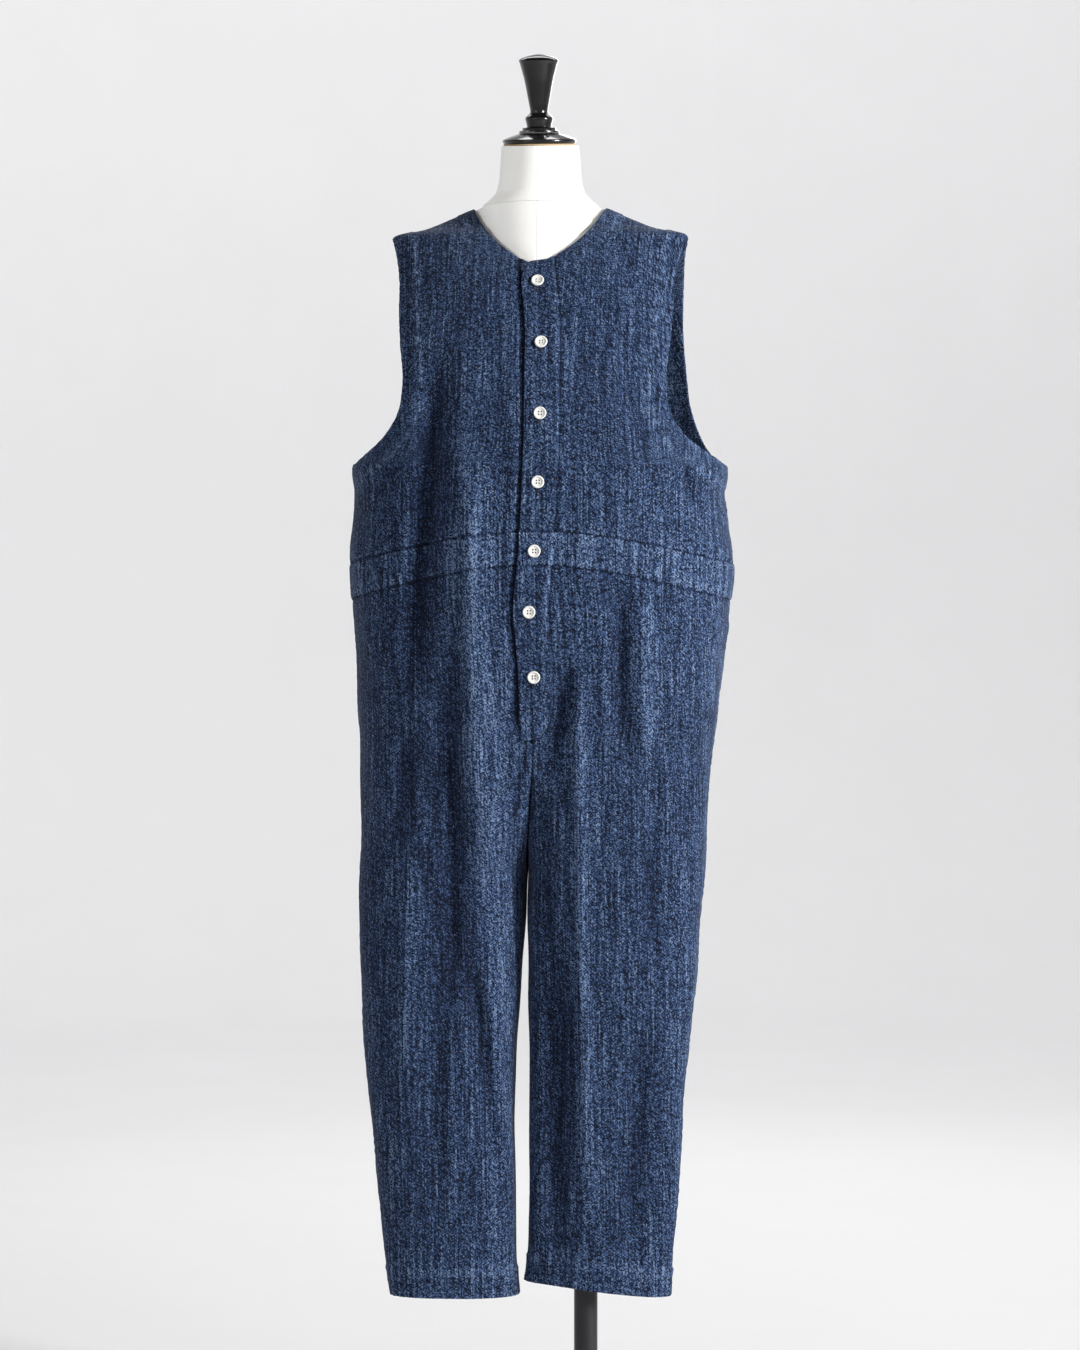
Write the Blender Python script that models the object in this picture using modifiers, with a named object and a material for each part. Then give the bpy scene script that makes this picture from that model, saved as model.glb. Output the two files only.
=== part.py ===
"""Sleeveless denim jumpsuit on a limbless dress form with a pole and a round base.

Metres, +Z up, the garment's front towards -Y. The origin is the centre of the base's
underside, on the pole's axis. Right and left are the wearer's: right is -X, left is +X.
"""
import math
from collections import namedtuple

import bmesh
import bpy
import numpy as np
from mathutils import Matrix

# Cloth
WALL = 0.002
SEAM_GAP = 0.0003
JOINED = 0.000001                   # from the centre line, on a piece that runs across it
OVERLAP = WALL + SEAM_GAP           # how far a lapped edge stands over the layer below
ROUNDNESS = 2.3                     # exponent of every section's curves

# Heights at the centre front
HEM = 0.188
WAIST_LOW = 1.058
WAIST_TOP = 1.097
UNDERARM = 1.178
V_POINT = 1.4127
NECK_POINT = 1.490
SHOULDER_TIP = 1.4556
NAPE = 1.472

# Openings' edges and bands
NECK_HALF = 0.080
BACK_DIP = 0.28                     # share of the side seam's dip at the centre back
BAND_LEFT = -0.0175                 # the lapped band's edges, from the centre line
BAND_RIGHT = 0.0235
BAND_EASE = 0.0055                  # where the lap comes down to the panel beside it
FLY_END = 0.854
FLY_CURVE = 0.046

# Where the garment and the form stand, seen from the pole
FORM_X = -0.055

# Half sections of each side of the garment. outer is measured from the form's centre
# plane, inner and ridge outwards from the centre line, and the ridge is the place where
# the section is deepest.
Section = namedtuple("Section", "z inner ridge outer front back")
RIGHT = [
    Section(0.188, 0.0110, 0.096, 0.1820, -0.047, 0.046),
    Section(0.240, 0.0140, 0.098, 0.1884, -0.049, 0.048),
    Section(0.300, 0.0152, 0.099, 0.1944, -0.051, 0.050),
    Section(0.420, 0.0164, 0.101, 0.2064, -0.058, 0.058),
    Section(0.540, 0.0092, 0.098, 0.2148, -0.067, 0.070),
    Section(0.660, 0.0020, 0.081, 0.2172, -0.078, 0.088),
    Section(0.720, 0.00015, 0.073, 0.2148, -0.086, 0.098),
    Section(0.780, 0.00015, 0.076, 0.2160, -0.098, 0.108),
    Section(0.840, 0.00015, 0.078, 0.2160, -0.110, 0.115),
    Section(0.900, 0.00015, 0.065, 0.2184, -0.121, 0.119),
    Section(0.960, 0.00015, 0.039, 0.2208, -0.1285, 0.120),
    Section(1.020, 0.00015, 0.0002, 0.2256, -0.133, 0.118),
    Section(1.050, 0.00015, 0.0002, 0.2268, -0.134, 0.1145),
    Section(1.080, 0.00015, 0.0002, 0.2268, -0.135, 0.113),
    Section(1.110, 0.00015, 0.0002, 0.2244, -0.136, 0.113),
    Section(1.140, 0.00015, 0.0002, 0.2220, -0.138, 0.1135),
    Section(1.178, 0.00015, 0.0002, 0.2232, -0.139, 0.114),
]
LEFT = [
    Section(0.188, -0.0062, 0.073, 0.1570, -0.035, 0.030),
    Section(0.240, -0.0008, 0.0715, 0.1608, -0.036, 0.032),
    Section(0.300, 0.0004, 0.070, 0.1656, -0.038, 0.036),
    Section(0.420, 0.0016, 0.068, 0.1728, -0.048, 0.049),
    Section(0.540, 0.0004, 0.066, 0.1860, -0.060, 0.064),
    Section(0.660, 0.0004, 0.064, 0.1944, -0.078, 0.088),
    Section(0.720, 0.00015, 0.062, 0.1992, -0.086, 0.098),
    Section(0.780, 0.00015, 0.056, 0.2016, -0.098, 0.108),
    Section(0.840, 0.00015, 0.048, 0.2076, -0.110, 0.115),
    Section(0.900, 0.00015, 0.046, 0.2148, -0.121, 0.119),
    Section(0.960, 0.00015, 0.042, 0.2208, -0.1285, 0.120),
    Section(1.020, 0.00015, 0.0002, 0.2280, -0.133, 0.118),
    Section(1.050, 0.00015, 0.0002, 0.2316, -0.134, 0.1145),
    Section(1.080, 0.00015, 0.0002, 0.2304, -0.135, 0.113),
    Section(1.110, 0.00015, 0.0002, 0.2256, -0.136, 0.113),
    Section(1.140, 0.00015, 0.0002, 0.2220, -0.138, 0.1135),
    Section(1.178, 0.00015, 0.0002, 0.2244, -0.139, 0.114),
]
# Above the underarm both sides share these, which close over the shoulders: from the
# shoulder tip up, outer is the shoulder seam's own line.
SHOULDERS = [
    Section(1.230, 0.00015, 0.0002, 0.2200, -0.1385, 0.114),
    Section(1.280, 0.00015, 0.0002, 0.2140, -0.132, 0.112),
    Section(1.320, 0.00015, 0.0002, 0.2080, -0.120, 0.108),
    Section(1.360, 0.00015, 0.0002, 0.2000, -0.105, 0.101),
    Section(1.400, 0.00015, 0.0002, 0.1900, -0.086, 0.090),
    Section(1.420, 0.00015, 0.0002, 0.1865, -0.073, 0.083),
    Section(1.440, 0.00015, 0.0002, 0.1830, -0.058, 0.074),
    Section(1.4556, 0.00015, 0.0002, 0.1760, -0.046, 0.065),
    Section(1.466, 0.00015, 0.0002, 0.1370, -0.034, 0.056),
    Section(1.476, 0.00015, 0.0002, 0.1125, -0.026, 0.045),
    Section(1.4856, 0.00015, 0.0002, 0.0912, -0.018, 0.036),
    Section(1.490, 0.00015, 0.0002, 0.0815, -0.014, 0.030),
]
SIDES = {-1: RIGHT + SHOULDERS, 1: LEFT + SHOULDERS}

# The centre seam and the side seams. depth is the seam's share of the section's depth:
# all of it on the torso, none at the crotch, where the legs part.
Centre = namedtuple("Centre", "z x depth")
CENTRE = [
    Centre(0.684, -0.0142, 0.0),
    Centre(0.695, -0.0138, 0.0),
    Centre(0.702, -0.0134, 0.24),
    Centre(0.715, -0.0125, 0.43),
    Centre(0.740, -0.0100, 0.64),
    Centre(0.780, -0.0060, 0.83),
    Centre(0.840, -0.0010, 0.97),
    Centre(0.880, 0.0003, 1.0),
    Centre(0.928, 0.0010, 1.0),
    Centre(1.003, -0.0040, 1.0),
    Centre(1.074, 0.0020, 1.0),
    Centre(1.155, 0.0065, 1.0),
    Centre(1.234, 0.0090, 1.0),
    Centre(1.3176, 0.0090, 1.0),
    Centre(1.390, 0.0030, 1.0),
    Centre(1.4127, 0.0, 1.0),
]
SideSeam = namedtuple("SideSeam", "z y")
SIDE_SEAM = [
    SideSeam(0.188, 0.0),
    SideSeam(1.200, 0.0),
    SideSeam(1.360, 0.002),
    SideSeam(1.4556, 0.005),
    SideSeam(1.490, 0.008),
]
# How far a row of the cloth that is level at the centre front dips at the side seam
Dip = namedtuple("Dip", "z drop")
DIP = [
    Dip(0.700, 0.0),
    Dip(0.850, 0.015),
    Dip(0.950, 0.030),
    Dip(1.058, 0.038),
    Dip(1.097, 0.035),
    Dip(1.200, 0.025),
    Dip(1.300, 0.010),
    Dip(1.440, 0.0),
]
HEM_LIFT = {-1: 0.0, 1: 0.017}      # how far each hem rises at the inseam
HEM_LIFT_FADE = 0.10

# Edges seen from the front or the back: height and distance from the centre plane
Edge = namedtuple("Edge", "z x")
ARMHOLE = {
    "front": [
        Edge(1.178, 0.2256), Edge(1.190, 0.2035), Edge(1.216, 0.173), Edge(1.250, 0.157),
        Edge(1.280, 0.155), Edge(1.320, 0.159), Edge(1.360, 0.162), Edge(1.390, 0.163),
        Edge(1.420, 0.167), Edge(1.440, 0.172), Edge(1.4556, 0.177),
    ],
    "back": [
        Edge(1.178, 0.2256), Edge(1.190, 0.210), Edge(1.226, 0.187), Edge(1.270, 0.175),
        Edge(1.360, 0.1695), Edge(1.430, 0.172), Edge(1.4556, 0.177),
    ],
}
# Soft folds: a line from low to high, x from the centre plane; a positive height stands
# out of the cloth and a negative one is a trough.
Fold = namedtuple("Fold", "side face z_low x_low z_high x_high half_width height")
FOLDS = [
    Fold(-1, "front", 0.870, -0.150, 1.340, -0.105, 0.017, -0.0070),
    Fold(-1, "front", 0.660, -0.068, 1.260, -0.074, 0.018, 0.0050),
    Fold(-1, "front", 0.900, -0.034, 1.230, -0.034, 0.009, -0.0030),
    Fold(1, "front", 0.820, 0.104, 1.060, 0.100, 0.009, -0.0045),
    Fold(1, "front", 0.800, 0.133, 1.060, 0.130, 0.013, 0.0040),
    Fold(1, "front", 0.560, 0.138, 0.840, 0.137, 0.014, -0.0035),
    Fold(1, "front", 0.200, 0.060, 1.030, 0.050, 0.010, 0.0045),
    Fold(1, "front", 0.190, 0.110, 0.560, 0.122, 0.012, -0.0035),
    Fold(1, "front", 1.120, 0.190, 1.205, 0.164, 0.007, -0.0035),
    Fold(1, "front", 0.790, 0.006, 0.970, 0.052, 0.014, -0.0045),
    Fold(-1, "front", 0.280, -0.040, 0.650, -0.086, 0.011, -0.0050),
    Fold(-1, "front", 0.230, -0.104, 0.600, -0.098, 0.012, 0.0040),
    Fold(-1, "front", 0.700, -0.165, 0.880, -0.150, 0.013, -0.0040),
    Fold(-1, "back", 0.300, -0.110, 0.820, -0.120, 0.016, -0.0050),
    Fold(1, "back", 0.260, 0.075, 0.780, 0.105, 0.015, -0.0050),
    Fold(-1, "back", 0.920, -0.090, 1.300, -0.070, 0.018, -0.0060),
    Fold(1, "back", 0.900, 0.120, 1.330, 0.088, 0.018, -0.0060),
    Fold(1, "back", 0.980, 0.048, 1.240, 0.040, 0.014, 0.0040),
]
FOLD_MARGIN = 0.015                 # folds fade out this near to a seam

# Grids of the cloth pieces
COLUMNS = 12
BODICE_ROWS = 18
CORNER_ROW = 12                     # the row that meets the neckline's corner
UNDERARM_ROW = 3
ROW_CROWDING = 1.7                  # rows close up to the shoulder seam, where the cloth turns
BAND_COLUMNS = 6
LAPPED_COLUMNS = 4
TROUSER_ROWS = [
    0.188, 0.250, 0.310, 0.370, 0.430, 0.490, 0.550, 0.610, 0.660, 0.695, 0.720, 0.760,
    0.800, 0.832, 0.854, 0.862, 0.875, 0.900, 0.940, 0.980, 1.020, 1.058,
]
FLY_ROWS = [z for z in TROUSER_ROWS if z >= FLY_END]

# Buttons, on the centre line
BUTTON_HEIGHTS = [1.392, 1.3176, 1.2344, 1.1546, 1.0743, 1.0033, 0.9277]
BUTTON_RADIUS = 0.0075
BUTTON_HOLE = 0.0009
BUTTON_HOLE_OFFSET = 0.0016

# Dress form: general adult sizes, 88 cm bust, 64 cm waist, 92 cm hips
FORM_CLEARANCE = 0.0026             # shoulders of the form below the cloth's outer face
FORM_DEPTH_CLEARANCE = 0.0045
FORM_SIDE_CLEARANCE = 0.006
ARM_PLATE = 0.150                   # half width where the arms are cut flat
FormRing = namedtuple("FormRing", "z outer front back")
FORM = [
    FormRing(0.830, 0.150, -0.075, 0.095),
    FormRing(0.836, 0.158, -0.081, 0.101),
    FormRing(0.860, 0.170, -0.092, 0.109),
    FormRing(0.900, 0.176, -0.100, 0.114),
    FormRing(0.960, 0.167, -0.098, 0.108),
    FormRing(1.020, 0.143, -0.092, 0.088),
    FormRing(1.080, 0.123, -0.088, 0.072),
    FormRing(1.140, 0.128, -0.099, 0.078),
    FormRing(1.200, 0.141, -0.117, 0.092),
    FormRing(1.260, 0.154, -0.1245, 0.101),
    FormRing(1.310, 0.166, -0.1175, 0.1045),
    FormRing(1.350, 0.174, -0.1035, 0.0985),
    FormRing(1.3974, 0.1840, -0.0810, 0.0850),
]
# The neck's own oval, which rises out of the shoulders
Neck = namedtuple("Neck", "z half_width front back")
NECK = [
    Neck(1.400, 0.035, -0.070, 0.058),
    Neck(1.4127, 0.040, -0.0715, 0.055),
    Neck(1.420, 0.045, -0.0700, 0.053),
    Neck(1.430, 0.056, -0.0683, 0.051),
    Neck(1.440, 0.0635, -0.0668, 0.049),
    Neck(1.460, 0.0665, -0.0650, 0.0460),
    Neck(1.476, 0.068, -0.0640, 0.0440),
    Neck(1.489, 0.0700, -0.0630, 0.0435),
    Neck(1.493, 0.0695, -0.0627, 0.0435),
    Neck(1.4976, 0.0640, -0.0615, 0.0432),
    Neck(1.509, 0.0535, -0.0600, 0.0430),
    Neck(1.525, 0.0495, -0.0595, 0.0425),
    Neck(1.5448, 0.048, -0.0600, 0.0410),
    Neck(1.5650, 0.0465, -0.0615, 0.0385),
]
FORM_TOP = 1.4915
NECK_TOP = 1.5650
NECK_TILT = math.radians(8)
FORM_SEGMENTS = 36

# Turned cap and handle: height and radius from the cap's underside
Turn = namedtuple("Turn", "height radius")
CAP = [
    Turn(0.0150, 0.0), Turn(0.0150, 0.0242), Turn(0.0138, 0.0245), Turn(0.0072, 0.0437),
    Turn(0.0042, 0.0443), Turn(0.0, 0.0395), Turn(0.0, 0.0),
]
FINIAL = [
    Turn(0.1082, 0.0), Turn(0.1075, 0.0080), Turn(0.1049, 0.0144), Turn(0.1029, 0.0209),
    Turn(0.0999, 0.0240), Turn(0.0957, 0.0222), Turn(0.0789, 0.0176), Turn(0.0622, 0.0144),
    Turn(0.0407, 0.0105), Turn(0.0383, 0.0110), Turn(0.0359, 0.0132), Turn(0.0329, 0.0164),
    Turn(0.0311, 0.0166), Turn(0.0251, 0.0150), Turn(0.0221, 0.0147), Turn(0.0209, 0.0200),
    Turn(0.0191, 0.0200), Turn(0.0173, 0.0242), Turn(0.0153, 0.0242), Turn(0.0153, 0.0),
]
TURNED_STEPS = 24

# Stand
POLE_RADIUS = 0.0141
FLANGE_RADIUS = 0.045
FLANGE_THICKNESS = 0.008
SLEEVE_RADIUS = 0.020
SLEEVE_LENGTH = 0.040
BASE_RADIUS = 0.200
BASE_THICKNESS = 0.010
BOSS_RADIUS = 0.030
BOSS_HEIGHT = 0.028
STAND_BEVEL = 0.003

FINISHES = {
    "denim": ((0.045, 0.065, 0.115, 1), 0.85, 0.0),
    "button": ((0.80, 0.79, 0.76, 1), 0.35, 0.0),
    "form_cover": ((0.76, 0.755, 0.73, 1), 0.75, 0.0),
    "black_gloss": ((0.012, 0.012, 0.013, 1), 0.18, 0.0),
    "stand_metal": ((0.040, 0.040, 0.043, 1), 0.45, 0.6),
}


def clear_scene():
    for item in list(bpy.data.objects):
        bpy.data.objects.remove(item, do_unlink=True)


def finish_material(name):
    if name in bpy.data.materials:
        return bpy.data.materials[name]
    colour, roughness, metallic = FINISHES[name]
    result = bpy.data.materials.new(name)
    result.use_nodes = True
    shader = result.node_tree.nodes["Principled BSDF"]
    shader.inputs["Base Color"].default_value = colour
    shader.inputs["Roughness"].default_value = roughness
    shader.inputs["Metallic"].default_value = metallic
    return result


def make_collection(name):
    result = bpy.data.collections.new(name)
    bpy.context.scene.collection.children.link(result)
    return result


def add_object(name, mesh, finish, collection):
    result = bpy.data.objects.new(name, mesh)
    mesh.materials.clear()
    mesh.materials.append(finish_material(finish))
    collection.objects.link(result)
    return result


def smooth(at, knots, values):
    """Monotone cubic through the knots, so that nothing bulges between two rows."""
    knots = np.asarray(knots, float)
    values = np.asarray(values, float)
    at = np.clip(at, knots[0], knots[-1])
    step = np.diff(knots)
    slope = np.diff(values) / step
    product = slope[:-1] * slope[1:]
    total = np.where(product > 0, slope[:-1] + slope[1:], 1.0)
    middle = np.where(product > 0, 2 * product / total, 0.0)
    slopes = np.concatenate(([slope[0]], middle, [slope[-1]]))
    i = np.clip(np.searchsorted(knots, at, side="right") - 1, 0, len(step) - 1)
    t = (at - knots[i]) / step[i]
    start = (1 + 2 * t) * (1 - t) ** 2 * values[i] + t * (1 - t) ** 2 * step[i] * slopes[i]
    end = t * t * (3 - 2 * t) * values[i + 1] - t * t * (1 - t) * step[i] * slopes[i + 1]
    return start + end


def column(table, name, z):
    return smooth(z, [row.z for row in table], [getattr(row, name) for row in table])


def by_side(side, name, z):
    return np.where(side < 0, column(SIDES[-1], name, z), column(SIDES[1], name, z))


def ease(t):
    t = np.clip(t, 0.0, 1.0)
    return t * t * (3 - 2 * t)


class HalfSection:
    """Half of the garment's outline at height z, from the centre seam, or a leg's inseam,
    out to the side seam: two quarters of a superellipse that meet at the ridge.

    A place on it is g: 0 to 1 runs from the seam to the ridge, 1 to 2 on to the side.
    """
    SAMPLES = np.linspace(0.0, 2.0, 81)

    def __init__(self, side, is_front, z):
        self.side = side
        centre_x = column(CENTRE, "x", z)
        share = column(CENTRE, "depth", z)
        face = np.where(is_front, by_side(side, "front", z), by_side(side, "back", z))
        both = (np.where(is_front, column(SIDES[-1], "front", z), column(SIDES[-1], "back", z))
                + np.where(is_front, column(SIDES[1], "front", z), column(SIDES[1], "back", z))) / 2
        self.side_y = column(SIDE_SEAM, "y", z)
        self.depth = face - self.side_y
        share = np.clip(share * (both - self.side_y) / self.depth, 0.0, 1.0)
        radius = np.maximum(1 - share ** ROUNDNESS, 1e-6) ** (1 / ROUNDNESS)
        self.start = np.arccos(np.clip(radius ** (ROUNDNESS / 2), 1e-4, 1.0))
        self.ridge_x = centre_x + side * by_side(side, "ridge", z)
        self.inward = by_side(side, "ridge", z) - by_side(side, "inner", z)
        self.outward = side * (side * by_side(side, "outer", z) - self.ridge_x)

    def point(self, g):
        shape = (-1,) + (1,) * (np.ndim(g) - 1)
        start, ridge_x, inward, outward, side_y, depth, side = (
            value.reshape(shape) for value in
            (self.start, self.ridge_x, self.inward, self.outward, self.side_y, self.depth, self.side))
        angle = start + np.clip(g, 0.0, 1.0) * (math.pi / 2 - start)
        turn = np.clip(g - 1, 0.0, 1.0) * math.pi / 2
        power = 2 / ROUNDNESS
        back_in = (np.maximum(np.cos(angle), 0.0) / np.cos(start)) ** power
        x = ridge_x - side * inward * back_in + side * outward * np.sin(turn) ** power
        level = np.where(g < 1, np.sin(angle) ** power, np.maximum(np.cos(turn), 0.0) ** power)
        return x, side_y + depth * level

    def sampled(self):
        g = np.broadcast_to(self.SAMPLES, (len(self.side), len(self.SAMPLES)))
        x, y = self.point(g)
        steps = np.hypot(np.diff(x, axis=1), np.diff(y, axis=1))
        lengths = np.concatenate((np.zeros((len(steps), 1)), np.cumsum(steps, axis=1)), axis=1)
        return x, lengths

    def length(self):
        return self.sampled()[1][:, -1]

    def at_share(self, share):
        """The place g at this share of the half section's length."""
        lengths = self.sampled()[1]
        return self.look_up(lengths / lengths[:, -1:], share, self.SAMPLES)

    def share_at_x(self, x):
        """The share of the length at which the outline reaches x, on the torso."""
        xs, lengths = self.sampled()
        reach = self.side[:, None] * (xs - xs[:, :1])
        target = np.clip(self.side * (x - xs[:, 0]), 0.0, reach[:, -1])
        return self.look_up(reach, target, lengths / lengths[:, -1:])

    @staticmethod
    def look_up(rising, target, result):
        i = np.clip((rising <= target[:, None]).sum(axis=1) - 1, 0, rising.shape[1] - 2)
        rows = np.arange(len(target))
        result = np.broadcast_to(result, rising.shape)
        span = np.maximum(rising[rows, i + 1] - rising[rows, i], 1e-9)
        t = np.clip((target - rising[rows, i]) / span, 0.0, 1.0)
        return result[rows, i] + t * (result[rows, i + 1] - result[rows, i])


def centre_share(tau):
    """tau is 0 at the centre front or inseam, 1 at the side, 2 at the back."""
    return np.where(tau <= 1, tau, 2 - tau)


def section_length(side, tau, z):
    return HalfSection(side, tau <= 1, z).length()


def fold_depth(side, tau, x, z, length):
    share = centre_share(tau)
    total = np.zeros_like(z)
    for fold in FOLDS:
        rise = (z - fold.z_low) / (fold.z_high - fold.z_low)
        line = fold.x_low + rise * (fold.x_high - fold.x_low)
        bell = np.exp(-((x - line) / fold.half_width) ** 2)
        reach = ease(rise / 0.3) * ease((1 - rise) / 0.3)
        here = (side == fold.side) & ((tau <= 1) == (fold.face == "front"))
        total += np.where(here, fold.height * bell * reach, 0.0)
    return total * ease(share * length / FOLD_MARGIN) * ease((1 - share) * length / FOLD_MARGIN)


def cloth_surface(side, tau, z):
    outline = HalfSection(side, tau <= 1, z)
    x, y = outline.point(outline.at_share(centre_share(tau)))
    out = fold_depth(side, tau, x, z, outline.length())
    y = np.where(tau <= 1, y - out, y + out)
    return np.stack([FORM_X + x, y, z], axis=-1)


def cloth_normal(side, tau, z, step=0.004):
    before, after = np.clip(tau - step, 0, 2), np.clip(tau + step, 0, 2)
    across = cloth_surface(side, after, z) - cloth_surface(side, before, z)
    up = cloth_surface(side, tau, z + step) - cloth_surface(side, tau, z - step)
    normal = np.cross(across, up) * side[:, None]
    return normal / np.linalg.norm(normal, axis=1, keepdims=True)


def cloth_points(side, tau, z, lift):
    return cloth_surface(side, tau, z) + cloth_normal(side, tau, z) * np.reshape(lift, (-1, 1))


def row_height(side, tau, w):
    """Height of the row of cloth that crosses the centre front at w."""
    swing = np.sin(centre_share(tau) * math.pi / 2) ** 2
    level = np.where(tau <= 1, swing, BACK_DIP + (1 - BACK_DIP) * swing)
    lift = np.where(side < 0, HEM_LIFT[-1], HEM_LIFT[1])
    fade = 1 - ease((w - HEM) / HEM_LIFT_FADE)
    return w - column(DIP, "drop", w) * level + lift * (1 - swing) * fade


def along_centre(s, w):
    """A place s metres from the centre line, + to the wearer's left, as side and tau."""
    side = np.where(s < 0, -1.0, 1.0)
    return side, np.abs(s) / section_length(side, np.zeros_like(w), w)


def edge_point(edge, t):
    """Height and distance from the centre plane at the share t of an edge's length."""
    z = np.array([row.z for row in edge])
    x = np.array([row.x for row in edge])
    lengths = np.concatenate(([0.0], np.cumsum(np.hypot(np.diff(z), np.diff(x)))))
    return smooth(t * lengths[-1], lengths, z), smooth(t * lengths[-1], lengths, x)


def edge_tau(side, is_front, z, x):
    share = HalfSection(side, np.full(z.shape, is_front), z).share_at_x(side * x)
    return share if is_front else 2 - share


def neckline_height(x):
    s = np.abs(x) / NECK_HALF
    return V_POINT + (NECK_POINT - V_POINT) * (0.56 * s + 0.44 * s ** 3.5)


def nape_height(x):
    return NAPE + (NECK_POINT - NAPE) * (np.abs(x) / NECK_HALF) ** 3


def fly_edge(w):
    """The fly band's curved edge, from the centre line."""
    t = np.clip((w - FLY_END) / FLY_CURVE, 0.0, 1.0)
    return BAND_RIGHT * np.sqrt(1 - (1 - t) ** 2)


def rows_at(rows, v):
    return np.interp(v * (len(rows) - 1), range(len(rows)), rows)


def grid_patch(bm, layers, columns, rows, place):
    """One grid of cloth: place gives side, tau, z and lift for the arrays u and v."""
    made = bmesh.ops.create_grid(bm, x_segments=columns, y_segments=rows, size=0.5)["verts"]
    u = np.array([vert.co.x + 0.5 for vert in made])
    v = np.array([vert.co.y + 0.5 for vert in made])
    side, tau, z, lift = place(u, v)
    outer = cloth_points(side, tau, z, lift)
    inner = cloth_points(side, tau, z, lift - WALL)
    for vert, outside, inside in zip(made, outer, inner):
        vert.co = outside
        vert[layers] = inside


def cloth_piece(name, patches, collection):
    """A closed wall of cloth over one or more grids that share edges."""
    bm = bmesh.new()
    inside = bm.verts.layers.float_vector.new("inside")
    for columns, rows, place in patches:
        grid_patch(bm, inside, columns, rows, place)
    bmesh.ops.remove_doubles(bm, verts=bm.verts, dist=1.5 * SEAM_GAP)
    made = bmesh.ops.extrude_face_region(bm, geom=bm.faces[:])["geom"]
    for item in made:
        if isinstance(item, bmesh.types.BMVert):
            item.co = item[inside]
    bmesh.ops.recalc_face_normals(bm, faces=bm.faces)
    bmesh.ops.triangulate(bm, faces=bm.faces)
    mesh = bpy.data.meshes.new(name)
    bm.to_mesh(mesh)
    bm.free()
    mesh.shade_smooth()
    mesh.set_sharp_from_angle(angle=math.radians(50))
    return add_object(name, mesh, "denim", collection)


def seam_tau(side, tau, z, joined=False):
    """tau kept half a seam gap away from the side seam and, unless the piece is joined
    across it, from the inseam or centre."""
    gap = SEAM_GAP / 2 / section_length(side, tau, z)
    centre_gap = 0.0 if joined else gap
    front = np.clip(tau, centre_gap, 1 - gap)
    return np.where(tau <= 1, front, np.clip(tau, 1 + gap, 2 - centre_gap))


def lap(s, end):
    """Lift of a lapped band: full over the layer below, then down to the next panel."""
    return OVERLAP * (1 - ease((s - (end - BAND_EASE)) / BAND_EASE))


def band_place(u, left, right):
    """Columns of a band: even over the lapped part, then even over the part that eases."""
    knee = LAPPED_COLUMNS / BAND_COLUMNS
    lapped = left + (right - BAND_EASE - left) * u / knee
    eased = right - BAND_EASE * (1 - u) / (1 - knee)
    return np.where(u < knee, lapped, eased)


def panel_across(sign, inner_s, u, w, is_front):
    """Side and tau of a front or back panel's columns, from its inner edge to its side."""
    side, tau = along_centre(inner_s, w)
    if not is_front:
        tau = 2 - tau
        return side, tau + (1 - tau) * u
    signed = side * tau + (sign - side * tau) * u
    return np.where(signed * sign < 0, -sign, sign) * np.ones_like(u), np.abs(signed)


def trouser_panel(name, sign, is_front, inner_edge, collection):
    def place(u, v):
        w = rows_at(TROUSER_ROWS, v)
        side, tau = panel_across(sign, inner_edge(w), u, w, is_front)
        side = np.where(w < FLY_END, sign, side).astype(float)
        tau = seam_tau(side, tau, w)
        z = row_height(side, tau, w - np.where(v > 1 - 1e-6, SEAM_GAP / 2, 0))
        return side, tau, z, np.zeros_like(u)
    return cloth_piece(name, [(COLUMNS, len(TROUSER_ROWS) - 1, place)], collection)


def waistband_rows(v):
    return WAIST_LOW + SEAM_GAP / 2 + v * (WAIST_TOP - WAIST_LOW - SEAM_GAP)


def waistband_main(sign, inner_s, is_front):
    def place(u, v):
        w = waistband_rows(v)
        side, tau = panel_across(sign, np.full_like(u, inner_s), u, w, is_front)
        tau = seam_tau(side, tau, w, joined=True)
        return side, tau, row_height(side, tau, w), np.zeros_like(u)
    return COLUMNS, 2, place


def waistband_lap(u, v):
    w = waistband_rows(v)
    s = band_place(u, BAND_LEFT, BAND_RIGHT - SEAM_GAP / 2)
    side, tau = along_centre(s, w)
    return side, tau, row_height(side, tau, w), lap(s, BAND_RIGHT)


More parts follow.
